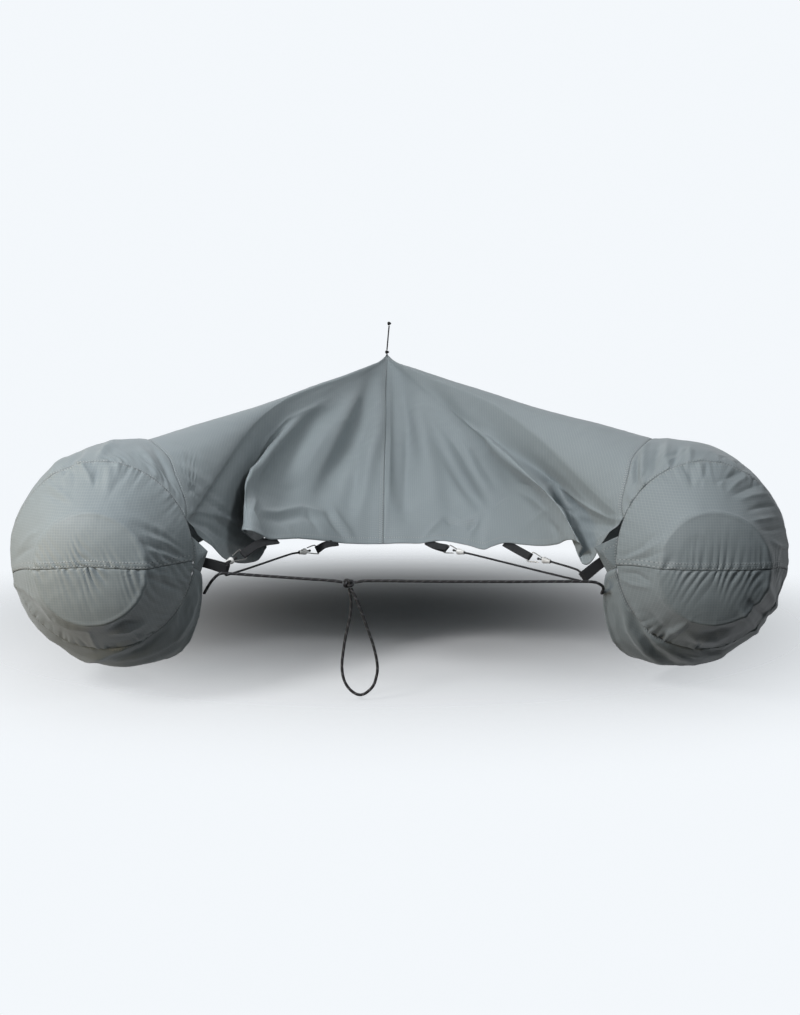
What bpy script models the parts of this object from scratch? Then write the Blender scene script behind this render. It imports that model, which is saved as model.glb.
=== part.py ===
"""Fitted cover for a small inflatable tender, drawn up into a tent by a cord at its peak.

The cover's own drawing frame has x across from its centre plane, y forward from the
stern ends of the two boots and z up from the axis of the side tubes it covers.
place() moves a point of that frame into the part's frame, whose origin is the
underside of the cloth at the peak.  All sizes are in metres.
"""
import math

import bmesh
import bpy
from mathutils import Vector

# Cloth and seams
CLOTH = 0.002
SEAM_GAP = 0.0003
EASING_PASSES = 3

# The side tubes that give the cover its shape
TUBE_HALF_SPAN = 0.583
TUBE_RADIUS = 0.236
BOW_STATION = 1.75
BOW_REACH = 1.15
BOW_RISE = 0.12
BOW_RADIUS = 0.215

# The peak of the tent
PEAK = Vector((-0.039, 1.30, 0.462))
NIPPLE_HEIGHT = 0.014
NIPPLE_WIDTH = 0.016

# Boots: the closed ends over the tubes' cones
CAP_STATION = 0.14
SEAM_ANGLE = -67.5
FLAP_ANGLE = -78.0
UPPER_STEPS = 10
LOWER_STEPS = 11
DISC_CROWN = 0.005
DISC_STEPS = (0.0, 0.36, 0.70, 1.0)
CONE_STATIONS = (0.05, 0.10, CAP_STATION)
HEM_ANGLE = 262.5

# station, shift outboard, shift up, half width and half height of the cloth round a boot
PORT_RINGS = (
    (0.00, 0.004, 0.003, 0.107, 0.107),
    (CAP_STATION, 0.018, 0.013, 0.184, 0.190),
    (0.20, 0.012, 0.004, 0.211, 0.221),
    (0.26, 0.004, -0.003, 0.234, 0.240),
    (0.34, 0.000, 0.000, 0.239, 0.243),
    (0.50, 0.000, 0.000, TUBE_RADIUS, TUBE_RADIUS),
)
STARBOARD_RINGS = (
    (0.00, 0.014, 0.004, 0.107, 0.107),
    (CAP_STATION, 0.027, 0.013, 0.173, 0.190),
    (0.20, 0.015, 0.004, 0.205, 0.221),
    (0.26, 0.005, -0.003, 0.232, 0.240),
    (0.34, 0.002, 0.002, 0.238, 0.245),
    (0.50, 0.000, 0.000, TUBE_RADIUS, TUBE_RADIUS),
)

# Rows of a side panel: station at the top seam, angle of the top seam, station on the
# outboard side, station at the drawcord hem, angle of the drawcord hem
PANEL_ROWS = (
    (0.157, -60.0, 0.170, 0.162, 260.0),
    (0.172, -51.0, 0.205, 0.180, 249.0),
    (0.195, -40.0, 0.245, 0.200, 237.0),
    (0.240, -28.0, 0.295, 0.240, 218.0),
    (0.300, -15.0, 0.360, 0.310, 200.0),
    (0.390, -6.0, 0.450, 0.410, 182.0),
    (0.530, 0.0, 0.580, 0.550, 164.0),
    (0.740, 2.0, 0.760, 0.750, 150.0),
    (1.000, 3.0, 1.000, 1.000, 142.0),
    (1.300, 3.0, 1.300, 1.300, 138.0),
    (1.600, 3.0, 1.600, 1.600, 137.0),
)
BOW_ROWS = 7
BOW_HEM_ANGLE = 136.0
OUTBOARD_SHARE = 0.4

# Spokes of the canopy's stern edge, from the centre seam outboard to the boot.
# hem x, y, z, and the shoulder where the cloth turns down: x, y, z
CENTRE_SPOKE = (-0.039, 0.550, -0.011, -0.039, 0.620, 0.089)
PORT_SPOKES = (
    (-0.083, 0.545, -0.011, -0.080, 0.620, 0.090),
    (-0.134, 0.520, -0.006, -0.131, 0.610, 0.090),
    (-0.180, 0.470, 0.006, -0.182, 0.585, 0.090),
    (-0.225, 0.410, 0.017, -0.235, 0.550, 0.095),
    (-0.257, 0.350, 0.022, -0.276, 0.520, 0.104),
    (-0.283, 0.300, 0.027, -0.308, 0.470, 0.124),
    (-0.301, 0.262, 0.043, -0.326, 0.430, 0.140),
    (-0.319, 0.250, 0.052, -0.337, 0.410, 0.152),
    (-0.334, 0.270, 0.049, -0.345, 0.420, 0.156),
    (-0.330, 0.330, 0.032, -0.345, 0.460, 0.147),
    (-0.326, 0.420, 0.011, -0.345, 0.510, 0.128),
    (-0.324, 0.520, -0.007, -0.346, 0.550, 0.111),
    (-0.320, 0.585, -0.021, -0.347, 0.580, 0.093),
    (-0.331, 0.610, -0.036, -0.358, 0.585, 0.075),
    (-0.342, 0.580, -0.052, -0.369, 0.560, 0.063),
    (-0.354, 0.490, -0.048, -0.372, 0.480, 0.058),
    (-0.360, 0.400, -0.037, -0.377, 0.420, 0.062),
    (-0.364, 0.310, -0.022, -0.382, 0.350, 0.070),
    (-0.374, 0.235, -0.004, -0.392, 0.290, 0.080),
    (-0.392, 0.195, 0.024, -0.407, 0.250, 0.087),
    (-0.417, 0.170, 0.051, -0.425, 0.220, 0.094),
)
STARBOARD_SPOKES = (
    (0.000, 0.545, -0.009, 0.000, 0.620, 0.085),
    (0.047, 0.545, -0.009, 0.046, 0.620, 0.077),
    (0.095, 0.540, -0.002, 0.090, 0.615, 0.073),
    (0.130, 0.535, -0.006, 0.128, 0.610, 0.068),
    (0.165, 0.525, -0.013, 0.164, 0.600, 0.072),
    (0.197, 0.515, -0.020, 0.195, 0.590, 0.077),
    (0.215, 0.505, -0.012, 0.220, 0.580, 0.085),
    (0.243, 0.480, -0.001, 0.252, 0.560, 0.096),
    (0.280, 0.440, 0.000, 0.283, 0.540, 0.110),
    (0.313, 0.390, 0.003, 0.315, 0.490, 0.115),
    (0.339, 0.320, 0.014, 0.324, 0.430, 0.115),
    (0.355, 0.250, 0.032, 0.331, 0.380, 0.112),
    (0.365, 0.205, 0.035, 0.334, 0.350, 0.110),
    (0.370, 0.180, 0.030, 0.337, 0.340, 0.110),
    (0.376, 0.205, 0.018, 0.341, 0.370, 0.115),
    (0.375, 0.233, 0.003, 0.345, 0.420, 0.122),
    (0.378, 0.224, -0.011, 0.355, 0.460, 0.131),
    (0.386, 0.208, -0.016, 0.370, 0.440, 0.128),
    (0.394, 0.194, -0.010, 0.385, 0.370, 0.121),
    (0.402, 0.184, 0.004, 0.400, 0.300, 0.111),
    (0.409, 0.174, 0.024, 0.417, 0.245, 0.098),
    (0.425, 0.160, 0.050, 0.430, 0.205, 0.091),
)

# Where the spokes pass half way down: at the skirt's corner, at the tuck and at the boot
PORT_CORNER = 9
PORT_TUCK = 13
PORT_MIDDLES = (Vector((-0.274, 0.71, 0.275)), Vector((-0.286, 0.72, 0.258)), Vector((-0.318, 0.68, 0.312)))
STARBOARD_CORNER = 14
STARBOARD_TUCK = 17
STARBOARD_MIDDLES = (Vector((0.196, 0.73, 0.252)), Vector((0.213, 0.73, 0.238)), Vector((0.255, 0.68, 0.310)))
RIDGE_ROW = 5
SIDE_SAG = 0.022
NECK = 0.38
SPOKE_ROWS = (0.0, 0.13, 0.32, 0.6, 1.0, 1.35, 1.7, 2.1, 2.4, 2.7, 2.9, 3.1, 3.3, 3.5, 3.7, 3.85, 4.0)

# Soft folds of the canopy as seen from the stern: from x, z to x, z, half width, height
CANOPY_FOLDS = (
    (-0.024, 0.400, -0.008, 0.100, 0.016, -0.007),
    (-0.060, 0.385, -0.085, 0.110, 0.022, 0.007),
    (-0.080, 0.400, -0.155, 0.130, 0.020, -0.009),
    (-0.125, 0.340, -0.215, 0.120, 0.022, 0.009),
    (-0.210, 0.290, -0.330, 0.120, 0.024, -0.010),
    (0.020, 0.330, 0.095, 0.120, 0.026, 0.008),
    (0.110, 0.200, 0.185, 0.085, 0.016, -0.009),
    (0.150, 0.250, 0.215, 0.120, 0.015, 0.008),
    (0.190, 0.200, 0.240, 0.090, 0.014, -0.009),
    (0.130, 0.330, 0.270, 0.140, 0.026, 0.010),
)

PANELS = (
    "canopy_port", "canopy_starboard", "side_panel_port", "side_panel_starboard",
    "cap_upper_port", "cap_lower_port", "cap_upper_starboard", "cap_lower_starboard",
)
FOLDS_END = 1.28
FLAP_TIPS = ((0.394, 0.148, 0.029), (-0.391, 0.155, 0.020))

# Webbing tabs: a strip sewn behind the edge, turned round the hook or cord and back
WEBBING = 0.0015
TAB_ROOT = 0.010
HEM_TAB_GAP = 0.00105
FLAP_TAB_GAP = 0.0004
LAYER_GAP = 0.0005
TAB_TURN_STEPS = 8
# name, side, spoke (None for the boot's flap), share of the way to the next spoke,
# half widths at the root and the tip, radius of the turn, centre of the turn
TABS = (
    ("tab_port_outer", -1, 5, 0.55, 0.0095, 0.0085, 0.0045, (-0.328, 0.235, 0.005)),
    ("tab_port_inner", -1, 2, 0.36, 0.0075, 0.0078, 0.0045, (-0.190, 0.480, -0.014)),
    ("tab_starboard_inner", 1, 2, 0.50, 0.0095, 0.0085, 0.0045, (0.107, 0.510, -0.016)),
    ("tab_starboard_outer", 1, 8, 0.10, 0.0095, 0.0085, 0.0045, (0.290, 0.400, -0.021)),
    ("tab_port_side", -1, None, 0.55, 0.0105, 0.0095, 0.0065, (-0.356, 0.165, -0.017)),
    ("tab_starboard_side", 1, None, 0.60, 0.0110, 0.0095, 0.0065, (0.375, 0.155, -0.031)),
)

# Hooks: a plastic cone on the shock cord with a wire loop that a tab holds
HOOK_REACH = 0.046
CONE_LENGTH = 0.020
CONE_WIDE = 0.0075
CONE_NARROW = 0.0042
CONE_SIDES = 12
CONE_EDGE = 0.0012
CONE_ROUNDING = (0.0006, 0.0004)
WIRE_RADIUS = 0.00125
WIRE_SPARE = 0.0035
WIRE_OFFSET = 0.0042
WIRE_END = (0.008, 0.0078)
WIRE_STEPS = 3
WIRE_BEND = 0.0030
STUB_RADIUS = 0.0020
STUB_LENGTH = 0.010
STUB_BALL = 0.0030
# name, tab that holds it, a point that the hook lies toward
HOOKS = (
    ("hook_port_outer", "tab_port_outer", (-0.349, 0.205, -0.005)),
    ("hook_port_inner", "tab_port_inner", (-0.229, 0.440, -0.017)),
    ("hook_starboard_inner", "tab_starboard_inner", (0.148, 0.470, -0.021)),
    ("hook_starboard_outer", "tab_starboard_outer", (0.325, 0.370, -0.027)),
)

# Cords
SHOCK_RADIUS = 0.00225
SHOCK_SPARE = 0.0013
# The shock cord's run in its own radii: straight out of a cone, out of a tab's mouth
# across and along, and in line with the inner hook
SHOCK_STRAIGHT = 2.5
SHOCK_MOUTH = (3.0, 3.2)
SHOCK_LEAD = 10.0
CROSS_RADIUS = 0.0030
LIFT_RADIUS = 0.0020
TOUCH = 0.0005
POINTS_APART = 2.8
CURVE_SAMPLES = 12
# The cross cord from the boot's hem to the knot, and the hanging pull loop below it
KNOT_CENTRE = Vector((-0.105, 0.155, -0.046))
KNOT_SIZE = Vector((0.012, 0.010, 0.010))
KNOT_LUMP = 0.06
CROSS_PORT = (
    (-0.384, 0.160, -0.042), (-0.366, 0.152, -0.026), (-0.348, 0.151, -0.0255),
    (-0.285, 0.153, -0.030), (-0.204, 0.155, -0.036), (-0.135, 0.155, -0.041),
)
CROSS_STARBOARD = (
    (0.412, 0.148, -0.052), (0.398, 0.143, -0.043), (0.381, 0.143, -0.041),
    (0.326, 0.146, -0.041), (0.224, 0.150, -0.042), (0.061, 0.154, -0.042), (-0.070, 0.155, -0.041),
)
PULL_LOOP = (
    (-0.100, 0.160, -0.082), (-0.101, 0.160, -0.104), (-0.104, 0.160, -0.124), (-0.111, 0.159, -0.155),
    (-0.117, 0.158, -0.193), (-0.119, 0.157, -0.220), (-0.115, 0.156, -0.245), (-0.105, 0.155, -0.263),
    (-0.092, 0.155, -0.274), (-0.081, 0.155, -0.277), (-0.070, 0.155, -0.273), (-0.055, 0.154, -0.258),
    (-0.048, 0.153, -0.237), (-0.046, 0.152, -0.220), (-0.049, 0.151, -0.196), (-0.057, 0.150, -0.165),
    (-0.069, 0.150, -0.131), (-0.080, 0.150, -0.100), (-0.088, 0.150, -0.080),
)
# The cord that draws the peak up: its knots' size and the top of its run above the cloth
LIFT_KNOT = Vector((0.0060, 0.0060, 0.0055))
LIFT_TOP = Vector((0.0065, 0.0, 0.086))


def place(point):
    """Move a point of the drawing frame into the part's frame."""
    return Vector(point) - PEAK - Vector((0.0, 0.0, NIPPLE_HEIGHT))


def smooth(t):
    """Ease from 0 to 1."""
    t = min(1.0, max(0.0, t))
    return t * t * (3.0 - 2.0 * t)


def between(table, value):
    """Interpolate the rows of a table whose first column rises."""
    for low, high in zip(table, table[1:]):
        if value <= high[0]:
            t = (value - low[0]) / (high[0] - low[0])
            return [a + t * (b - a) for a, b in zip(low[1:], high[1:])]
    return list(table[-1][1:])


def smooth_curve(points, t):
    """Point at t on the smooth curve through points, one span for each whole number."""
    span = min(int(t), len(points) - 2)
    t -= span
    start, end = points[span], points[span + 1]
    before = points[span - 1] if span else start + (start - end)
    after = points[span + 2] if span + 2 < len(points) else end + (end - start)
    length = (end - start).length
    leave = (end - before).normalized() * length
    arrive = (after - start).normalized() * length
    return (
        start * (2.0 * t**3 - 3.0 * t**2 + 1.0)
        + leave * (t**3 - 2.0 * t**2 + t)
        + end * (3.0 * t**2 - 2.0 * t**3)
        + arrive * (t**3 - t**2)
    )


def tube_point(side, station, angle):
    """Point of the cloth round a tube: angle 0 is its top and 90 its outboard side."""
    rings = PORT_RINGS if side < 0 else STARBOARD_RINGS
    shift_out, shift_up, half_width, half_height = between(rings, station)
    centre = Vector((TUBE_HALF_SPAN + shift_out, station, shift_up))
    outward = Vector((1.0, 0.0, 0.0))
    if station > BOW_STATION:
        turn = math.radians(90.0) * (station - BOW_STATION) / BOW_REACH
        centre.x = TUBE_HALF_SPAN * math.cos(turn)
        centre.y = BOW_STATION + BOW_REACH * math.sin(turn)
        outward = Vector((math.cos(turn) / TUBE_HALF_SPAN, math.sin(turn) / BOW_REACH, 0.0))
        outward.normalize()
        share = smooth(turn / math.radians(90.0))
        centre.z += BOW_RISE * share
        half_width += (BOW_RADIUS - half_width) * share
        half_height += (BOW_RADIUS - half_height) * share
    theta = math.radians(angle)
    point = centre + half_width * math.sin(theta) * outward
    point.z += half_height * math.cos(theta)
    point.x *= side
    return point


def cap_point(side, angle, level):
    """Point of a boot's cap: first its flat disc, then its cone."""
    if level >= len(DISC_STEPS):
        return tube_point(side, CONE_STATIONS[level - len(DISC_STEPS)], angle)
    share = DISC_STEPS[level]
    centre = 0.5 * (tube_point(side, 0.0, -90.0) + tube_point(side, 0.0, 90.0))
    point = centre.lerp(tube_point(side, 0.0, angle), share)
    point.y -= DISC_CROWN * (1.0 - share * share)
    return point


def ring_angles():
    """Angles of the seam round a boot, split where the upper and lower caps meet."""
    upper = [-90.0, FLAP_ANGLE]
    upper += [SEAM_ANGLE + (90.0 - SEAM_ANGLE) * i / UPPER_STEPS for i in range(UPPER_STEPS + 1)]
    lower = [90.0 + (HEM_ANGLE - 90.0) * i / LOWER_STEPS for i in range(LOWER_STEPS + 1)]
    lower.append(270.0)
    return upper, lower


def panel_columns():
    """Shares of the way round from the top seam to the drawcord hem, as on the boot's seam."""
    upper, lower = ring_angles()
    angles = upper[2:] + lower[1:-1]
    return [(a - SEAM_ANGLE) / (HEM_ANGLE - SEAM_ANGLE) for a in angles]


def panel_rows():
    """All rows of a side panel, from the boot's seam to the bow."""
    rows = [(CAP_STATION, SEAM_ANGLE, CAP_STATION, CAP_STATION, HEM_ANGLE)]
    rows += list(PANEL_ROWS)
    seam_angle, hem_angle = PANEL_ROWS[-1][1], PANEL_ROWS[-1][4]
    for i in range(BOW_ROWS):
        share = i / (BOW_ROWS - 1)
        station = BOW_STATION + BOW_REACH * share
        hem = hem_angle + (BOW_HEM_ANGLE - hem_angle) * share
        rows.append((station, seam_angle, station, station, hem))
    return rows


def panel_point(side, row, share):
    """Point of a side panel at a share of the way from its top seam to its hem."""
    seam_station, seam_angle, station, hem_station, hem_angle = row
    if share < OUTBOARD_SHARE:
        along = seam_station + (station - seam_station) * smooth(share / OUTBOARD_SHARE)
    else:
        beyond = (share - OUTBOARD_SHARE) / (1.0 - OUTBOARD_SHARE)
        along = station + (hem_station - station) * smooth(beyond)
    return tube_point(side, along, seam_angle + (hem_angle - seam_angle) * share)


def spoke_controls(side):
    """Peak, neck, middle, shoulder and edge of each spoke of one half of the canopy."""
    table = PORT_SPOKES if side < 0 else STARBOARD_SPOKES
    corner, tuck = (PORT_CORNER, PORT_TUCK) if side < 0 else (STARBOARD_CORNER, STARBOARD_TUCK)
    corner_middle, tuck_middle, boot_middle = PORT_MIDDLES if side < 0 else STARBOARD_MIDDLES
    spokes = []
    for i, row in enumerate((CENTRE_SPOKE,) + table):
        edge, shoulder = Vector(row[:3]), Vector(row[3:])
        level = corner_middle.lerp(boot_middle, max(0, i - corner) / (len(table) + 1 - corner))
        if i <= corner:
            middle = PEAK.lerp(shoulder, 0.5).lerp(corner_middle, (i / corner) ** 1.6)
            level = middle
        elif i <= tuck:
            middle = corner_middle.lerp(tuck_middle, (i - corner) / (tuck - corner))
        else:
            middle = tuck_middle.lerp(boot_middle, (i - tuck) / (len(table) + 1 - tuck))
        spokes.append((PEAK, PEAK.lerp(level, NECK), middle, shoulder, edge))
    rows = panel_rows()
    ridge_middle = PEAK.lerp(panel_point(side, rows[RIDGE_ROW], 0.0), 0.5)
    for j, row in enumerate(rows):
        edge = panel_point(side, row, 0.0)
        share = smooth(j / RIDGE_ROW)
        if j <= RIDGE_ROW:
            middle = boot_middle.lerp(ridge_middle, share)
        else:
            middle = PEAK.lerp(edge, 0.5)
            middle.z -= SIDE_SAG * smooth((j - RIDGE_ROW) / 3.0)
        shoulder = edge.lerp(middle, 0.06 + 0.16 * share)
        spokes.append((PEAK, PEAK.lerp(middle, NECK), middle, shoulder, edge))
    return spokes


def canopy_point(controls, t):
    """Point at t on a spoke, with the cloth drawn up into a nipple at the peak."""
    point = smooth_curve(controls, t)
    away = (point - PEAK).length
    point.z += NIPPLE_HEIGHT * math.exp(-away / NIPPLE_WIDTH)
    return point


def fold_height(point):
    """How far the folds lift the canopy at a point seen from the stern."""
    total = 0.0
    for x0, z0, x1, z1, half_width, height in CANOPY_FOLDS:
        run, rise = x1 - x0, z1 - z0
        share = ((point.x - x0) * run + (point.z - z0) * rise) / (run * run + rise * rise)
        near = min(1.0, max(0.0, share))
        gap = math.hypot(point.x - x0 - near * run, point.z - z0 - near * rise)
        swell = math.sin(math.pi * min(1.0, max(0.0, 0.08 + 0.84 * near))) ** 0.6
        total += height * swell * math.exp(-((gap / half_width) ** 2))
    return total


def add_grid(skin, panel, across, along, point, outward):
    """Add a grid of cloth to the skin: point(i, j) places its corners, outward its face."""
    verts = bmesh.ops.create_grid(skin, x_segments=across, y_segments=along, size=1.0)["verts"]
    faces = list({face for vert in verts for face in vert.link_faces})
    for vert in verts:
        i = round((vert.co.x + 1.0) / 2.0 * across)
        j = round((vert.co.y + 1.0) / 2.0 * along)
        vert.co = point(i, j)
    finish_cloth(skin, panel, faces, outward)


def finish_cloth(skin, panel, faces, outward):
    """Mark new faces as one panel's and turn them all to its outer side."""
    score = 0.0
    for face in faces:
        face.normal_update()
        face.material_index = panel
        score += face.calc_area() * face.normal.dot(outward(face.calc_center_median()))
    if score < 0.0:
        bmesh.ops.reverse_faces(skin, faces=faces)


def from_tube(side):
    """Outward direction of the cloth round a tube."""
    def direction(point):
        away = point - Vector((side * TUBE_HALF_SPAN, point.y, 0.0))
        return away.normalized() if point.y < BOW_STATION else Vector((point.x, 0.0, 0.0))
    return direction


def add_side(skin, side):
    """Add the canopy half, side panel, flap and two caps of one side to the skin."""
    port = side < 0
    canopy = PANELS.index("canopy_port" if port else "canopy_starboard")
    panel = PANELS.index("side_panel_port" if port else "side_panel_starboard")
    caps = [PANELS.index(name + ("port" if port else "starboard")) for name in ("cap_upper_", "cap_lower_")]
    controls = spoke_controls(side)
    columns, rows = panel_columns(), panel_rows()
    add_grid(
        skin, canopy, len(controls) - 1, len(SPOKE_ROWS) - 1,
        lambda i, j: canopy_point(controls[i], SPOKE_ROWS[j]), lambda p: Vector((0.0, 0.0, 1.0)),
    )
    add_grid(
        skin, panel, len(columns) - 1, len(rows) - 1,
        lambda i, j: panel_point(side, rows[j], columns[i]), from_tube(side),
    )
    levels = len(DISC_STEPS) + len(CONE_STATIONS) - 1
    for cap, angles in zip(caps, ring_angles()):
        add_grid(
            skin, cap, len(angles) - 1, levels,
            lambda i, j, a=angles: cap_point(side, a[i], j), lambda p: Vector((0.0, -1.0, 0.0)),
        )
    corners = [
        tube_point(side, CAP_STATION, HEM_ANGLE),
        tube_point(side, CAP_STATION, 270.0),
        tube_point(side, CAP_STATION, FLAP_ANGLE),
        Vector(FLAP_TIPS[port]),
        panel_point(side, rows[1], 1.0),
    ]
    verts = [skin.verts.new(corner) for corner in corners]
    flap = [
        skin.faces.new((verts[0], verts[1], verts[3])),
        skin.faces.new((verts[0], verts[3], verts[4])),
        skin.faces.new((verts[1], verts[2], verts[3])),
    ]
    finish_cloth(skin, panel, flap, lambda p: Vector((-side, -0.3, 0.0)))


def cover_skin():
    """The whole cover as one surface, the inner face of its cloth, with its folds."""
    skin = bmesh.new()
    for side in (-1, 1):
        add_side(skin, side)
    bmesh.ops.remove_doubles(skin, verts=skin.verts[:], dist=0.00002)
    skin.normal_update()
    canopy = [v for v in skin.verts if all(f.material_index < 2 for f in v.link_faces)]
    moves = [(v, v.normal * fold_height(v.co)) for v in canopy if v.co.y < FOLDS_END]
    for vert, move in moves:
        vert.co += move
    skin.normal_update()
    mark_outward(skin)
    return skin


def mark_outward(skin):
    """Keep each point's outward direction, eased over its neighbours so tight folds stay apart."""
    layer = skin.verts.layers.float_vector.new("outward")
    for vert in skin.verts:
        vert[layer] = vert.normal
    for _ in range(EASING_PASSES):
        eased = []
        for vert in skin.verts:
            total = 2.0 * vert[layer]
            for edge in vert.link_edges:
                total += edge.other_vert(vert)[layer]
            eased.append((vert, total.normalized()))
        for vert, direction in eased:
            vert[layer] = direction


def draw_back(piece, layer, distance):
    """Move the free edges of a piece of cloth inward, in the plane of the cloth."""
    moves = []
    for vert in piece.verts:
        edges = [edge for edge in vert.link_edges if edge.is_boundary]
        if len(edges) != 2:
            continue
        normal = vert[layer]
        inward = []
        for edge in edges:
            along = (edge.other_vert(vert).co - vert.co).normalized()
            direction = normal.cross(along).normalized()
            toward = edge.link_faces[0].calc_center_median() - vert.co
            inward.append(direction if direction.dot(toward) > 0.0 else -direction)
        share = max(0.3, 1.0 + inward[0].dot(inward[1]))
        moves.append((vert, (inward[0] + inward[1]) * (distance / share)))
    for vert, move in moves:
        vert.co += move


def thicken(piece, layer, thickness):
    """Give an open piece of cloth its thickness on its outer side."""
    inner = piece.faces[:]
    result = bmesh.ops.extrude_face_region(piece, geom=inner, use_keep_orig=True)
    for item in result["geom"]:
        if isinstance(item, bmesh.types.BMVert):
            item.co += item[layer] * thickness
    face_outward(piece)


def face_outward(piece):
    """Turn a closed piece's faces outward."""
    bmesh.ops.recalc_face_normals(piece, faces=piece.faces[:])
    if piece.calc_volume(signed=True) < 0.0:
        bmesh.ops.reverse_faces(piece, faces=piece.faces[:])


def keep_mesh(piece, name, material, collection, angle=40.0):
    """Put a finished bmesh into the scene as one named object."""
    for vert in piece.verts:
        vert.co = place(vert.co)
    for face in piece.faces:
        face.material_index = 0
    mesh = bpy.data.meshes.new(name)
    piece.to_mesh(mesh)
    piece.free()
    mesh.materials.append(material)
    mesh.shade_smooth()
    mesh.set_sharp_from_angle(angle=math.radians(angle))
    made = bpy.data.objects.new(name, mesh)
    collection.objects.link(made)
    return made


def make_material(name, colour, roughness, metallic=0.0):
    """A Principled material."""
    material = bpy.data.materials.new(name)
    material.use_nodes = True
    shader = material.node_tree.nodes["Principled BSDF"]
    shader.inputs["Base Color"].default_value = (*colour, 1.0)
    shader.inputs["Roughness"].default_value = roughness
    shader.inputs["Metallic"].default_value = metallic
    return material


def tab_patch(side, spoke):
    """The two ends of the stretch of edge that a tab is sewn to, and the points above them."""
    if spoke is not None:
        near, far = spoke_controls(side)[spoke:spoke + 2]
        return near[-1], far[-1], canopy_point(near, SPOKE_ROWS[-2]), canopy_point(far, SPOKE_ROWS[-2])
    return (
        Vector(FLAP_TIPS[side < 0]), panel_point(side, panel_rows()[1], 1.0),
        tube_point(side, CAP_STATION, HEM_ANGLE), tube_point(side, CAP_STATION, HEM_ANGLE),
    )


def tab_profile(gap, reach, depth, turn, clear):
    """Middle line of a tab's strip, as (down, inward): root, clear of the edge, round, back."""
    front = gap + 0.5 * WEBBING
    back = front + WEBBING + LAYER_GAP
    slope = math.atan2(depth - front, reach - clear)
    points = [(-TAB_ROOT, front), (clear, front)]
    for i in range(TAB_TURN_STEPS + 1):
        angle = slope - math.pi / 2.0 + math.pi * i / TAB_TURN_STEPS
        points.append((reach + turn * math.cos(angle), depth + turn * math.sin(angle)))
    points += [(clear + WEBBING, back), (-0.9 * TAB_ROOT, back)]
    return points


def add_tab(name, side, spoke, share, root, end, turn, tip, material, collection):
    """Make one webbing tab; give back the directions along its free part and across it."""
    near, far, near_above, far_above = tab_patch(side, spoke)
    edge, along = near.lerp(far, share), far - near
    up = near_above.lerp(far_above, share) - edge
    rise = up - along * (up.dot(along) / along.length_squared)
    inward = along.cross(up).normalized()
    if inward.dot(Vector((0.0 if spoke is not None else side, 1.0, 0.0))) < 0.0:
        inward.negate()
    reach_out = Vector(tip) - edge
    depth = reach_out.dot(inward)
    down = (reach_out - depth * inward).normalized()
    across = down.cross(inward)

    def twist(point):
        """How far the cloth's twist brings it inward of the tab's plane."""
        v = max(0.0, (point - edge).dot(rise) / rise.length_squared)
        s = share + (point - edge - v * up).dot(along) / along.length_squared
        return (near.lerp(far, s).lerp(near_above.lerp(far_above, s), v) - edge).dot(inward)

    clear = WEBBING + root * abs(across.dot(rise) / down.dot(rise))
    gap = FLAP_TAB_GAP if spoke is None else HEM_TAB_GAP
    line = tab_profile(gap, reach_out.dot(down), depth, turn, clear)
    piece = bmesh.new()
    layer = piece.verts.layers.float_vector.new("outward")
    verts = bmesh.ops.create_grid(piece, x_segments=1, y_segments=len(line) - 1, size=1.0)["verts"]
    for vert in verts:
        j = round((vert.co.y + 1.0) / 2.0 * (len(line) - 1))
        before, after = line[max(0, j - 1)], line[min(len(line) - 1, j + 1)]
        run = Vector((after[0] - before[0], after[1] - before[1])).normalized()
        normal = down * run.y - inward * run.x
        width = root + (end - root) * min(1.0, max(0.0, line[j][0] / reach_out.dot(down)))
        flat = edge + down * line[j][0] + across * (width * vert.co.x)
        vert[layer] = normal
        vert.co = flat + inward * (line[j][1] + twist(flat)) - 0.5 * WEBBING * normal
    thicken(piece, layer, WEBBING)
    keep_mesh(piece, name, material, collection, 30.0)
    return reach_out.normalized(), across


def along_curve(points, spacing):
    """Points about spacing apart on the smooth curve through the given ones."""
    fine = []
    for i in range(len(points) - 1):
        fine += [smooth_curve(points, i + j / CURVE_SAMPLES) for j in range(CURVE_SAMPLES)]
    fine.append(points[-1].copy())
    lengths = [0.0]
    for a, b in zip(fine, fine[1:]):
        lengths.append(lengths[-1] + (b - a).length)
    count = max(2, round(lengths[-1] / spacing))
    result, k = [fine[0]], 0
    for i in range(1, count):
        wanted = lengths[-1] * i / count
        while lengths[k + 1] < wanted:
            k += 1
        share = (wanted - lengths[k]) / (lengths[k + 1] - lengths[k])
        result.append(fine[k].lerp(fine[k + 1], share))
    return result + [fine[-1]]


def add_tube(name, points, radius, resolution, material, collection):
    """A round cord or wire along points of the drawing frame."""
    curve = bpy.data.curves.new(name, "CURVE")
    curve.dimensions = "3D"
    curve.bevel_depth = radius
    curve.bevel_resolution = resolution
    curve.use_fill_caps = True
    spline = curve.splines.new("POLY")
    spline.points.add(len(points) - 1)
    for slot, point in zip(spline.points, points):
        slot.co = (*place(point), 1.0)
    curve.materials.append(material)
    made = bpy.data.objects.new(name, curve)
    collection.objects.link(made)


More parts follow.
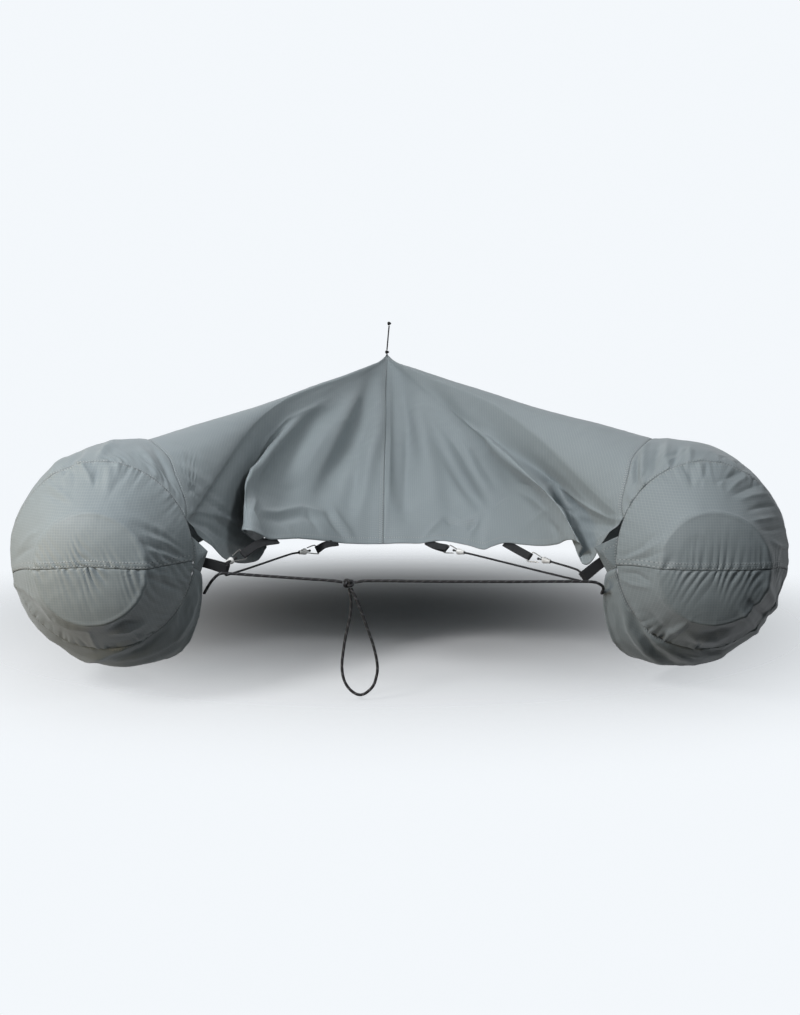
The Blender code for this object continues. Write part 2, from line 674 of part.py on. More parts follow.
def add_turned(name, base, axis, profile, material, collection):
    """A turned piece: profile holds (distance along the axis, radius) from end to end."""
    piece = bmesh.new()
    turn = axis.to_track_quat("Z", "Y")
    points = [(0.0, profile[0][0])] + [(r, z) for z, r in profile] + [(0.0, profile[-1][0])]
    verts = [piece.verts.new((r, 0.0, z)) for r, z in points]
    edges = [piece.edges.new(pair) for pair in zip(verts, verts[1:])]
    bmesh.ops.spin(
        piece, geom=verts + edges, cent=(0.0, 0.0, 0.0), axis=(0.0, 0.0, 1.0),
        angle=math.tau, steps=CONE_SIDES, use_merge=True,
    )
    bmesh.ops.remove_doubles(piece, verts=piece.verts[:], dist=0.00001)
    for vert in piece.verts:
        vert.co = turn @ vert.co + base
    face_outward(piece)
    keep_mesh(piece, name, material, collection)


def add_hook(name, tip, toward, across, half_width, materials, collection):
    """One hook; give back the middle of its cone's narrow end and the cone's axis."""
    plastic, steel, black = materials
    axis = (toward - tip).normalized()
    wide = tip + axis * (HOOK_REACH - CONE_LENGTH / 2.0)
    narrow = wide + axis * CONE_LENGTH
    profile = (
        (0.0, CONE_WIDE - CONE_EDGE), (CONE_EDGE, CONE_WIDE),
        (CONE_LENGTH - CONE_EDGE, CONE_NARROW + CONE_ROUNDING[0]),
        (CONE_LENGTH, CONE_NARROW - CONE_ROUNDING[1]),
    )
    add_turned(name + "_cone", wide, axis, profile, plastic, collection)
    reach = half_width + WIRE_SPARE
    aside = (across - axis * across.dot(axis)).normalized()
    route = [
        wide - axis * TOUCH + aside * WIRE_OFFSET,
        wide - axis * WIRE_BEND + aside * WIRE_OFFSET,
        tip + axis * WIRE_BEND + across * reach,
        tip + across * (reach - WIRE_BEND),
        tip - across * (reach - WIRE_BEND),
        tip + axis * WIRE_BEND - across * reach,
        wide - axis * WIRE_END[0] - aside * WIRE_END[1],
    ]
    points = []
    for i in range(len(route) - 1):
        points += [smooth_curve(route, i + j / WIRE_STEPS) for j in range(WIRE_STEPS)]
    add_tube(name + "_wire", points + [route[-1]], WIRE_RADIUS, 2, steel, collection)
    stub = (
        (0.0, STUB_RADIUS), (STUB_LENGTH, STUB_RADIUS), (STUB_LENGTH + 0.4 * STUB_BALL, 0.9 * STUB_BALL),
        (STUB_LENGTH + STUB_BALL, STUB_BALL), (STUB_LENGTH + 1.7 * STUB_BALL, 0.7 * STUB_BALL),
    )
    add_turned(name + "_cord_end", wide - axis * TOUCH, -axis, stub, black, collection)
    return narrow, axis


def knot_reach(direction, size):
    """How far a lumpy knot's surface lies from its middle in one direction."""
    unit = direction.normalized()
    level = Vector([c / s for c, s in zip(unit, size)]).length
    swirl = math.sin(4.0 * math.atan2(unit.z, unit.x) + 3.0 * unit.y)
    return (1.0 + KNOT_LUMP * swirl) / level


def add_knot(name, centre, size, segments, material, collection):
    """A knot: an egg with the raised turns of its cord."""
    piece = bmesh.new()
    bmesh.ops.create_uvsphere(piece, u_segments=segments, v_segments=segments // 2 + 1, radius=1.0)
    for vert in piece.verts:
        direction = vert.co.normalized()
        vert.co = centre + direction * knot_reach(direction, size)
    keep_mesh(piece, name, material, collection, 60.0)


def knot_exit(direction):
    """Where a cord meets the cross cord's knot."""
    unit = Vector(direction).normalized()
    return KNOT_CENTRE + unit * (knot_reach(unit, KNOT_SIZE) + TOUCH)


def clear_scene():
    """Remove what the scene holds."""
    for item in list(bpy.data.objects):
        bpy.data.objects.remove(item, do_unlink=True)


clear_scene()
collection = bpy.data.collections.new("boat_cover")
bpy.context.scene.collection.children.link(collection)
coated_cloth = make_material("coated_cloth", (0.245, 0.285, 0.300), 0.55)

skin = cover_skin()
for panel, name in enumerate(PANELS):
    piece = skin.copy()
    others = [face for face in piece.faces if face.material_index != panel]
    bmesh.ops.delete(piece, geom=others, context="FACES")
    outward = piece.verts.layers.float_vector["outward"]
    draw_back(piece, outward, SEAM_GAP / 2.0)
    thicken(piece, outward, CLOTH)
    keep_mesh(piece, name, coated_cloth, collection)
skin.free()

webbing_black = make_material("webbing_black", (0.020, 0.021, 0.023), 0.75)
hook_plastic = make_material("hook_plastic", (0.80, 0.80, 0.78), 0.40)
hook_steel = make_material("hook_steel", (0.62, 0.61, 0.58), 0.30, 1.0)
cord_black = make_material("cord_black", (0.022, 0.022, 0.024), 0.80)

tabs = {}
for name, side, spoke, share, root, end, turn, tip in TABS:
    run, across = add_tab(name, side, spoke, share, root, end, turn, tip, webbing_black, collection)
    held = WIRE_RADIUS if spoke is not None else SHOCK_RADIUS + SHOCK_SPARE
    seat = Vector(tip) + run * (turn - 0.5 * WEBBING - held - TOUCH)
    tabs[name] = (seat, across, end)

cone_ends = {}
for name, tab, toward in HOOKS:
    seat, across, half_width = tabs[tab]
    cone_ends[name] = add_hook(
        name, seat, Vector(toward), across, half_width,
        (hook_plastic, hook_steel, cord_black), collection,
    )

for side in ("port", "starboard"):
    tip, across, mouth = tabs["tab_" + side + "_side"]
    outer, outer_axis = cone_ends["hook_" + side + "_outer"]
    inner, inner_axis = cone_ends["hook_" + side + "_inner"]
    if across.z < 0.0:
        across = -across
    toward_hooks = (outer - tip).lerp(inner - tip, 0.5).normalized()
    straight = SHOCK_STRAIGHT * SHOCK_RADIUS
    wide = across * (mouth + SHOCK_MOUTH[0] * SHOCK_RADIUS)
    ahead = toward_hooks * SHOCK_MOUTH[1] * SHOCK_RADIUS
    route = [
        outer + outer_axis * straight,
        tip + wide + ahead,
        tip + across * mouth,
        tip - across * mouth,
        tip - wide + ahead,
        inner + inner_axis * SHOCK_LEAD * SHOCK_RADIUS,
        inner + inner_axis * straight,
    ]
    points = along_curve(route, 2.0 * POINTS_APART * SHOCK_RADIUS)
    points = [outer + outer_axis * TOUCH] + points + [inner + inner_axis * TOUCH]
    add_tube("shock_cord_" + side, points, SHOCK_RADIUS, 2, cord_black, collection)

for name, side, table in (("cross_cord_port", -1, CROSS_PORT), ("cross_cord_starboard", 1, CROSS_STARBOARD)):
    route = [Vector(point) for point in table]
    hem = panel_point(side, panel_rows()[2], 1.0)
    route.insert(0, hem + from_tube(side)(hem) * (CLOTH + CROSS_RADIUS + TOUCH))
    route.append(knot_exit(route[-1] - KNOT_CENTRE))
    points = along_curve(route, 2.0 * POINTS_APART * CROSS_RADIUS)
    add_tube(name, points, CROSS_RADIUS, 2, cord_black, collection)

route = [Vector(point) for point in PULL_LOOP]
route.insert(0, knot_exit(route[0] - KNOT_CENTRE))
route.append(knot_exit(route[-1] - KNOT_CENTRE))
add_tube(
    "pull_loop", along_curve(route, 2.0 * POINTS_APART * CROSS_RADIUS), CROSS_RADIUS, 2,
    cord_black, collection,
)
add_knot("cross_knot", KNOT_CENTRE, KNOT_SIZE, 18, cord_black, collection)

peak = PEAK + Vector((0.0, 0.0, NIPPLE_HEIGHT))
knot = peak + Vector((0.0, 0.0, CLOTH + LIFT_KNOT.z))
up = Vector((0.0, 0.0, LIFT_KNOT.z * (1.0 + KNOT_LUMP) + TOUCH))
top = peak + LIFT_TOP
add_knot("lift_knot", knot, LIFT_KNOT, 12, cord_black, collection)
add_tube(
    "lift_cord", along_curve([knot + up, (knot + up).lerp(top, 0.5), top], 2.0 * POINTS_APART * LIFT_RADIUS),
    LIFT_RADIUS, 2, cord_black, collection,
)
add_knot("lift_end_knot", top + up, LIFT_KNOT, 12, cord_black, collection)
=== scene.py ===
"""Boat cover: the looks of a fitted cloth cover that hangs from its peak, seen from the stern."""
import math

import bmesh
import bpy
import numpy as np
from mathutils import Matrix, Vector, noise


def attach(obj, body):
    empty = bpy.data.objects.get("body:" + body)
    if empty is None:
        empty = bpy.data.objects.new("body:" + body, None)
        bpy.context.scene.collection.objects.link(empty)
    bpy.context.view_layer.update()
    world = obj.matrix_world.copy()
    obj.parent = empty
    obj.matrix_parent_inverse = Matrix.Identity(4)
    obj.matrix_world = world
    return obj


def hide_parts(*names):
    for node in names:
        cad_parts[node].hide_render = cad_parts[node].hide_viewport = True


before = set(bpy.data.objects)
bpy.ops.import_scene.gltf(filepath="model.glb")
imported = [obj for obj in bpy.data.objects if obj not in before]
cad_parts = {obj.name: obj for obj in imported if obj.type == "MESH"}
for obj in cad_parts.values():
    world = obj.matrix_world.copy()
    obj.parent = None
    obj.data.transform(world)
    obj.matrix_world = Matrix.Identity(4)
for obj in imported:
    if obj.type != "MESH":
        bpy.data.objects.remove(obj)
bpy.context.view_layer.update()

# ---- Camera, light and floor
# The photo was taken from behind the stern, a little above the boots, in soft daylight
# from above, on a white ground.  The floor only catches the shadow.

LOOK_DOWN = 4.6
camera_data = bpy.data.cameras.new("camera")
camera_data.sensor_width = 36.0
camera_data.lens = 40.68
camera = bpy.data.objects.new("camera", camera_data)
camera.location = (0.039, -3.46, -0.181)
camera.rotation_euler = (math.radians(90.0 - LOOK_DOWN), 0.0, 0.0)
bpy.context.scene.collection.objects.link(camera)
bpy.context.scene.camera = camera

world = bpy.data.worlds.new("daylight")
world.use_nodes = True
sky = world.node_tree.nodes["Background"]
sky.inputs["Color"].default_value = (0.93, 0.965, 1.0, 1.0)


def add_sky_node(kind, settings, inputs):
    """A node of the daylight: its settings, then values or links by input."""
    node = world.node_tree.nodes.new(kind)
    for key, value in settings.items():
        setattr(node, key, value)
    for key, value in inputs.items():
        if isinstance(value, bpy.types.NodeSocket):
            world.node_tree.links.new(value, node.inputs[key])
        else:
            node.inputs[key].default_value = value
    return node


# Bright overhead and to the left, bright behind the cover, dim low down in front of it; the
# ground and the air around it look white from every side
SKY_TOWARD = (-0.42, 0.10, 0.90)
toward = add_sky_node("ShaderNodeTexCoord", {}, {}).outputs["Generated"]
height = add_sky_node("ShaderNodeVectorMath", {"operation": "DOT_PRODUCT"}, {0: toward, 1: SKY_TOWARD})
overhead = add_sky_node("ShaderNodeMapRange", {"interpolation_type": "SMOOTHSTEP"}, {
    "Value": height.outputs["Value"], "From Min": 0.0, "From Max": 0.90, "To Min": 0.02, "To Max": 0.45,
})
axes = add_sky_node("ShaderNodeSeparateXYZ", {}, {0: toward})
behind = add_sky_node("ShaderNodeMapRange", {"interpolation_type": "SMOOTHSTEP"}, {
    "Value": axes.outputs["Y"], "From Min": 0.2, "From Max": 0.8, "To Min": 0.0, "To Max": 0.76,
})
daylight = add_sky_node("ShaderNodeMath", {"operation": "MAXIMUM"}, {
    0: overhead.outputs[0], 1: behind.outputs[0],
})
seen = add_sky_node("ShaderNodeLightPath", {}, {})
strength = add_sky_node("ShaderNodeMix", {"data_type": "FLOAT"}, {
    0: seen.outputs["Is Camera Ray"], 2: daylight.outputs[0], 3: 0.97,
})
world.node_tree.links.new(strength.outputs[0], sky.inputs["Strength"])
bpy.context.scene.world = world
bpy.context.scene.view_settings.view_transform = "Standard"


def add_light(name, location, target, size, power, colour, spread=180.0):
    """A soft rectangular light that faces a point, with its spread in degrees."""
    data = bpy.data.lights.new(name, "AREA")
    data.shape = "RECTANGLE"
    data.size, data.size_y = size
    data.energy = power
    data.color = colour
    data.spread = math.radians(spread)
    lamp = bpy.data.objects.new(name, data)
    lamp.location = location
    lamp.rotation_euler = (Vector(target) - Vector(location)).to_track_quat("-Z", "Y").to_euler()
    bpy.context.scene.collection.objects.link(lamp)


add_light("sky_panel", (-0.5, -0.9, 2.2), (0.0, -0.6, -0.4), (1.3, 1.1), 7.0, (0.95, 0.975, 1.0))
add_light("left_window", (-1.9, -3.0, 1.45), (-0.1, -1.0, -0.35), (0.8, 0.8), 77.0, (0.98, 0.985, 1.0))
add_light("right_fill", (1.5, -2.7, 1.5), (-0.32, -0.75, -0.1), (0.7, 0.7), 2.2, (0.96, 0.98, 1.0), 50.0)
add_light("warm_bounce", (-1.75, -2.0, -0.45), (-0.6, -1.25, -0.5), (0.7, 0.4), 9.5, (1.0, 0.82, 0.58))

floor_shape = bmesh.new()
ground = bmesh.ops.create_grid(floor_shape, x_segments=1, y_segments=1, size=30.0)["verts"]
bmesh.ops.translate(floor_shape, verts=ground, vec=(0.0, 0.0, -0.765))
floor_mesh = bpy.data.meshes.new("floor")
floor_shape.to_mesh(floor_mesh)
floor_shape.free()
floor = bpy.data.objects.new("floor", floor_mesh)
bpy.context.scene.collection.objects.link(floor)


# ---- Finishes
# Every material below is built with plain arithmetic on shader values: the cords' braid,
# the ripstop cloth with its stitches, the webbing, the hooks' plastic and their steel.

class Value:
    """A shader output that takes plain arithmetic."""

    def __init__(self, finish, socket):
        self.finish = finish
        self.socket = socket

    def math(self, operation, *others):
        """A maths node over this value and others."""
        inputs = dict(enumerate((self,) + others))
        return self.finish.node("ShaderNodeMath", {"operation": operation}, inputs)

    def __add__(self, other):
        return self.math("ADD", other)

    def __radd__(self, other):
        return self.math("ADD", other)

    def __sub__(self, other):
        return self.math("SUBTRACT", other)

    def __rsub__(self, other):
        return self.math("MULTIPLY_ADD", -1.0, other)

    def __mul__(self, other):
        return self.math("MULTIPLY", other)

    def __rmul__(self, other):
        return self.math("MULTIPLY", other)

    def __truediv__(self, other):
        return self.math("DIVIDE", other)

    def peak(self, middle, half_width):
        """1 where this value is at middle, falling to 0 at half_width from it."""
        away = (self - middle).math("ABSOLUTE") / half_width
        return (1.0 - away).math("MAXIMUM", 0.0)

    def share(self, period):
        """Where this value is in its period, from 0 to 1."""
        return (self / period).math("FRACT")


class Finish:
    """A Principled material whose inputs are driven by shader arithmetic."""

    def __init__(self, name, colour, roughness, metallic=0.0):
        self.material = bpy.data.materials.new(name)
        self.material.use_nodes = True
        self.tree = self.material.node_tree
        self.shader = self.tree.nodes["Principled BSDF"]
        self.set("Base Color", (*colour, 1.0))
        self.set("Roughness", roughness)
        self.set("Metallic", metallic)

    def put(self, socket, value):
        """Give a socket a constant or a link."""
        if isinstance(value, Value):
            self.tree.links.new(value.socket, socket)
        else:
            socket.default_value = value

    def set(self, name, value):
        """Give an input of the shader a constant or a link."""
        self.put(self.shader.inputs[name], value)

    def node(self, kind, settings=None, inputs=None, output=0):
        """Add a node: its settings first, then its inputs by name or number."""
        made = self.tree.nodes.new(kind)
        for key, value in (settings or {}).items():
            setattr(made, key, value)
        for key, value in (inputs or {}).items():
            self.put(made.inputs[key], value)
        return Value(self, made.outputs[output])

    def uv(self, name):
        """The two coordinates of a UV map, in metres."""
        where = self.node("ShaderNodeUVMap", {"uv_map": name})
        outputs = self.node("ShaderNodeSeparateXYZ", inputs={0: where}).socket.node.outputs
        return Value(self, outputs[0]), Value(self, outputs[1])

    def spots(self, scale, detail=2.0):
        """Soft noise in the object's own space."""
        where = self.node("ShaderNodeTexCoord", output="Object")
        return self.node("ShaderNodeTexNoise", inputs={"Vector": where, "Scale": scale, "Detail": detail})

    def blend(self, amount, low, high):
        """A colour between two by an amount from 0 to 1."""
        return self.node(
            "ShaderNodeMix", {"data_type": "RGBA"}, {0: amount, 6: low, 7: high}, output=2,
        )

    def bump(self, height, distance, strength=1.0):
        """Drive the normal by a height from 0 to 1."""
        self.set("Normal", self.node(
            "ShaderNodeBump", inputs={"Height": height, "Distance": distance, "Strength": strength},
        ))


# The pale floor fades into the white around it
floor_finish = Finish("pale_floor", (0.60, 0.60, 0.60), 0.9)
floor_spot = floor_finish.node("ShaderNodeTexCoord", output="Object")
floor_reach = floor_finish.node(
    "ShaderNodeVectorMath", {"operation": "LENGTH"}, {0: floor_spot}, output="Value",
)
floor_finish.set("Alpha", floor_finish.node(
    "ShaderNodeMapRange", {"interpolation_type": "SMOOTHSTEP"},
    {"Value": floor_reach, "From Min": 0.7, "From Max": 1.9, "To Min": 1.0, "To Max": 0.0},
))
floor_mesh.materials.append(floor_finish.material)

# ---- Cords
# The lift cord that draws the peak up, the knotted cross cord with its hanging loop and
# the elastic cord of the hooks: round braided cords, tied, and run through webbing tabs.

BRAID_SIDES = 14
KNOT_SIDES = 12
KNOT_STEPS = 96


def smooth_curve(points, t):
    """Point at t on the smooth curve through points, one span for each whole number."""
    span = min(int(t), len(points) - 2)
    t -= span
    start, end = points[span], points[span + 1]
    before = points[span - 1] if span else start + (start - end)
    after = points[span + 2] if span + 2 < len(points) else end + (end - start)
    length = (end - start).length
    leave = (end - before).normalized() * length
    arrive = (after - start).normalized() * length
    return (
        start * (2.0 * t**3 - 3.0 * t**2 + 1.0)
        + leave * (t**3 - 2.0 * t**2 + t)
        + end * (3.0 * t**2 - 2.0 * t**3)
        + arrive * (t**3 - t**2)
    )


def along_curve(points, spacing):
    """Points about spacing apart on the smooth curve through the given ones."""
    points = [Vector(point) for point in points]
    fine = [smooth_curve(points, i + j / 16) for i in range(len(points) - 1) for j in range(16)]
    fine.append(points[-1].copy())
    lengths = [0.0]
    for a, b in zip(fine, fine[1:]):
        lengths.append(lengths[-1] + (b - a).length)
    count = max(2, round(lengths[-1] / spacing))
    wanted = [lengths[-1] * i / count for i in range(count + 1)]
    axes = [np.interp(wanted, lengths, [p[k] for p in fine]) for k in range(3)]
    return [Vector(point) for point in zip(*axes)]


def ring_frames(points, closed=False):
    """Two directions square to a line of points at each of them, without twist."""
    frames = []
    count = len(points)
    aside = None
    for i, point in enumerate(points):
        if closed:
            along = points[(i + 1) % count] - points[i - 1]
        else:
            along = points[min(i + 1, count - 1)] - points[max(i - 1, 0)]
        along.normalize()
        if aside is None:
            aside = along.orthogonal().normalized()
        aside = (aside - along * aside.dot(along)).normalized()
        frames.append((aside.copy(), along.cross(aside)))
    return frames


def make_object(name, piece, finish, angle=40.0):
    """Turn a finished bmesh into a smooth-shaded object with one material."""
    bmesh.ops.recalc_face_normals(piece, faces=piece.faces[:])
    mesh = bpy.data.meshes.new(name)
    piece.to_mesh(mesh)
    piece.free()
    mesh.materials.append(finish.material)
    mesh.shade_smooth()
    mesh.set_sharp_from_angle(angle=math.radians(angle))
    made = bpy.data.objects.new(name + "_piece", mesh)
    bpy.context.scene.collection.objects.link(made)
    return made


def add_tube(piece, points, radius, sides, closed=False, radius_at=None):
    """Add a round tube along points, with a UV of turns round it and metres along it."""
    layer = piece.loops.layers.uv.get("braid") or piece.loops.layers.uv.new("braid")
    frames = ring_frames(points, closed)
    rings = []
    for i, (point, (aside, up)) in enumerate(zip(points, frames)):
        size = radius * (radius_at(i / (len(points) - 1)) if radius_at else 1.0)
        turns = [math.tau * k / sides for k in range(sides)]
        rings.append([
            piece.verts.new(point + aside * (size * math.cos(a)) + up * (size * math.sin(a))) for a in turns
        ])
    run = 0.0
    pairs = list(zip(range(len(rings)), range(1, len(rings))))
    if closed:
        pairs.append((len(rings) - 1, 0))
    for a, b in pairs:
        step = (points[b] - points[a]).length
        for k in range(sides):
            corners = (rings[a][k], rings[a][(k + 1) % sides], rings[b][(k + 1) % sides], rings[b][k])
            face = piece.faces.new(corners)
            places = ((k, run), (k + 1, run), (k + 1, run + step), (k, run + step))
            for loop, (turn, along) in zip(face.loops, places):
                loop[layer].uv = (turn / sides, along)
        run += step
    if not closed:
        piece.faces.new(rings[0][::-1])
        piece.faces.new(rings[-1])


def braided(name, colour, fleck, pitch, strands):
    """The finish of a braided cord: crossing strands, with a paler one that winds round it."""
    finish = Finish(name, colour, 0.78)
    turn, along = finish.uv("braid")
    left = (turn * strands + along / pitch).share(1.0).peak(0.5, 0.5)
    right = (turn * strands - along / pitch).share(1.0).peak(0.5, 0.5)
    weave = left.math("MAXIMUM", right)
    if fleck:
        winding = (turn + along / (pitch * 4.0)).share(1.0).peak(0.5, 0.09)
        mark = (winding * right * 1.6).math("MINIMUM", 1.0)
        finish.set("Base Color", finish.blend(mark, (*colour, 1.0), (*fleck, 1.0)))
    finish.bump(weave, 0.0006, 0.8)
    return finish


def add_cord(name, route, radius, finish):
    """A cord as a tube through the points of its route; gives its object and its path."""
    path = along_curve(route, 2.0 * radius)
    piece = bmesh.new()
    add_tube(piece, path, radius, BRAID_SIDES)
    return make_object(name, piece, finish), path


def add_knot(name, centre, size, radius, finish):
    """An overhand knot: a trefoil of cord drawn tight inside the knot's size."""
    path = []
    for i in range(KNOT_STEPS):
        t = math.tau * i / KNOT_STEPS
        away = 2.0 + math.cos(3.0 * t)
        path.append(Vector((
            centre[0] + (size[0] - radius) * away * math.cos(2.0 * t) / 3.0,
            centre[1] + (size[1] - radius) * math.sin(3.0 * t),
            centre[2] + (size[2] - radius) * away * math.sin(2.0 * t) / 3.0,
        )))
    piece = bmesh.new()
    add_tube(piece, path, radius, KNOT_SIDES, closed=True)
    return make_object(name, piece, finish)


def path_length(path):
    """Length of a line of points."""
    return sum((b - a).length for a, b in zip(path, path[1:]))


cord_colour = (0.022, 0.022, 0.024)
thin_braid = braided("thin_braid", cord_colour, None, 0.0030, 6.0)
cross_braid = braided("cross_braid", cord_colour, (0.20, 0.20, 0.21), 0.0042, 6.0)
elastic_braid = braided("elastic_braid", (0.020, 0.020, 0.022), None, 0.0024, 8.0)

cords = {}
routes = {
    "lift_cord": (0.0020, thin_braid, (
        (0.0, 0.0, 0.0138), (0.0032, 0.0003, 0.050), (0.0065, 0.0, 0.086),
    )),
    "cross_cord_port": (0.0030, cross_braid, (
        (-0.3643, -1.12, -0.5465), (-0.345, -1.14, -0.518), (-0.327, -1.148, -0.502),
        (-0.309, -1.149, -0.5015), (-0.246, -1.147, -0.506), (-0.165, -1.145, -0.512),
        (-0.096, -1.145, -0.517), (-0.0778, -1.145, -0.520),
    )),
    "cross_cord_starboard": (0.0030, cross_braid, (
        (0.4545, -1.12, -0.5466), (0.451, -1.152, -0.528), (0.437, -1.157, -0.519),
        (0.420, -1.157, -0.517), (0.365, -1.154, -0.517), (0.263, -1.15, -0.518),
        (0.100, -1.146, -0.518), (-0.031, -1.145, -0.517), (-0.0533, -1.145, -0.5202),
    )),
    "pull_loop": (0.0030, cross_braid, (
        (-0.0645, -1.1435, -0.5328), (-0.061, -1.14, -0.558), (-0.062, -1.14, -0.58),
        (-0.065, -1.14, -0.6), (-0.072, -1.141, -0.631), (-0.078, -1.142, -0.669),
        (-0.080, -1.143, -0.696), (-0.076, -1.144, -0.721), (-0.066, -1.145, -0.739),
        (-0.053, -1.145, -0.750), (-0.042, -1.145, -0.753), (-0.031, -1.145, -0.749),
        (-0.016, -1.146, -0.734), (-0.009, -1.147, -0.713), (-0.007, -1.148, -0.696),
        (-0.010, -1.149, -0.672), (-0.018, -1.150, -0.641), (-0.030, -1.150, -0.607),
        (-0.041, -1.150, -0.576), (-0.049, -1.150, -0.556), (-0.0609, -1.1465, -0.5321),
    )),
    "shock_cord_port": (0.00225, elastic_braid, (
        (-0.3214, -1.1112, -0.4865), (-0.3242, -1.1152, -0.4879), (-0.3081, -1.1317, -0.4781),
        (-0.3127, -1.1369, -0.4846), (-0.3181, -1.1327, -0.5023), (-0.3174, -1.1245, -0.5084),
        (-0.2069, -0.8776, -0.4941), (-0.1952, -0.8655, -0.4933), (-0.1917, -0.8618, -0.4931),
    )),
    "shock_cord_starboard": (0.00225, elastic_braid, (
        (0.3731, -0.9375, -0.5045), (0.3770, -0.9408, -0.5051), (0.3997, -1.1399, -0.4948),
        (0.4070, -1.1458, -0.5004), (0.4183, -1.1443, -0.5156), (0.4190, -1.1374, -0.5208),
        (0.2034, -0.846, -0.4989), (0.1914, -0.8343, -0.4975), (0.1877, -0.8307, -0.4971),
    )),
}
for name, (radius, finish, route) in routes.items():
    cord, path = add_cord(name, route, radius, finish)
    cords[name] = (cord, path, radius)
    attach(cord, "root")
    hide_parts(name)

knot_table = {
    "cross_knot": ((-0.066, -1.145, -0.522), (0.0125, 0.0105, 0.0105), 0.0031, cross_braid),
    "lift_knot": ((0.0, 0.0, 0.0075), (0.0066, 0.0060, 0.0055), 0.0020, thin_braid),
    "lift_end_knot": ((0.0065, 0.0, 0.0923), (0.0062, 0.0060, 0.0055), 0.0020, thin_braid),
}
for name, (centre, size, radius, finish) in knot_table.items():
    knot = add_knot(name, centre, size, radius, finish)
    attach(knot, "root")
    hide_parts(name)


def declare_cord(name):
    """Work out a cord's length along its route and its width; neither is kept."""
    cord, path, radius = cords[name]
    path_length(path)
    2.0 * radius


declare_cord("lift_cord")
declare_cord("cross_cord_port")
declare_cord("cross_cord_starboard")
declare_cord("pull_loop")

# ---- Cloth
# The cover is sewn from eight pieces of coated ripstop: two canopy halves, two side
# panels that form its long sleeves, and an upper and a lower cap on each boot.  It is built
# in its own frame, x across, y forward from the boots and z up from the sleeves' axis.

MM = 0.001
SLEEVE_HALF_SPAN = 0.583
SLEEVE_RADIUS = 0.236
BOW_STATION = 1.75
BOW_REACH = 1.15
BOW_RISE = 0.12
BOW_RADIUS = 0.215
PEAK = Vector((-0.039, 1.30, 0.462))
NIPPLE_HEIGHT = 0.014
NIPPLE_WIDTH = 0.016
TO_PART = np.array((0.039, -1.30, -0.476))
CAP_STATION = 0.14
SEAM_ANGLE = -67.5
HEM_ANGLE = 262.5
CLOTH_OUTER = 0.0012
CLOTH_THICKNESS = 0.0008
# The eye that sees the stern view's creases, in the cover's own frame
EYE = np.array((0.0, -2.16, 0.295))
EYE_PITCH = math.radians(LOOK_DOWN)

# station, shift outboard, shift up, half width and half height of the cloth round a boot
PORT_RINGS = (
    (0.00, 0.004, 0.003, 0.107, 0.107), (CAP_STATION, 0.018, 0.013, 0.184, 0.190),
    (0.20, 0.012, 0.004, 0.211, 0.221), (0.26, 0.004, -0.003, 0.234, 0.240),
    (0.34, 0.000, 0.000, 0.239, 0.243), (0.50, 0.000, 0.000, SLEEVE_RADIUS, SLEEVE_RADIUS),
)
STARBOARD_RINGS = (
    (0.00, 0.014, 0.004, 0.107, 0.107), (CAP_STATION, 0.027, 0.013, 0.173, 0.190),
    (0.20, 0.015, 0.004, 0.205, 0.221), (0.26, 0.005, -0.003, 0.232, 0.240),
    (0.34, 0.002, 0.002, 0.238, 0.245), (0.50, 0.000, 0.000, SLEEVE_RADIUS, SLEEVE_RADIUS),
)


def smooth(t):
    """Ease from 0 to 1."""
    t = min(1.0, max(0.0, t))
    return t * t * (3.0 - 2.0 * t)


def sleeve_point(side, station, angle):
    """Point of the cloth round a sleeve: angle 0 is its top and 90 its outboard side."""
    rings = PORT_RINGS if side < 0 else STARBOARD_RINGS
    columns = list(zip(*rings))
    shift_out, shift_up, half_width, half_height = (
        float(np.interp(station, columns[0], column)) for column in columns[1:]
    )
    centre = Vector((SLEEVE_HALF_SPAN + shift_out, station, shift_up))
    outward = Vector((1.0, 0.0, 0.0))
    if station > BOW_STATION:
        turn = math.radians(90.0) * (station - BOW_STATION) / BOW_REACH
        centre.x = SLEEVE_HALF_SPAN * math.cos(turn)
        centre.y = BOW_STATION + BOW_REACH * math.sin(turn)
        outward = Vector((math.cos(turn) / SLEEVE_HALF_SPAN, math.sin(turn) / BOW_REACH, 0.0))
        outward.normalize()
        share = smooth(turn / math.radians(90.0))
        centre.z += BOW_RISE * share
        half_width += (BOW_RADIUS - half_width) * share
        half_height += (BOW_RADIUS - half_height) * share
    theta = math.radians(angle)
    point = centre + half_width * math.sin(theta) * outward
    point.z += half_height * math.cos(theta)
    point.x *= side
    return point


def stern_view(points):
    """Where the eye sees points, on the upright plane through the boots' ends."""
    away = points - EYE
    ahead = away[..., 1] * math.cos(EYE_PITCH) - away[..., 2] * math.sin(EYE_PITCH)
    rise = (away[..., 1] * math.sin(EYE_PITCH) + away[..., 2] * math.cos(EYE_PITCH)) / ahead
    reach = -EYE[1] / (math.cos(EYE_PITCH) + rise * math.sin(EYE_PITCH))
    height = EYE[2] + reach * (rise * math.cos(EYE_PITCH) - math.sin(EYE_PITCH))
    return np.stack((away[..., 0] / ahead * reach, height), axis=-1)


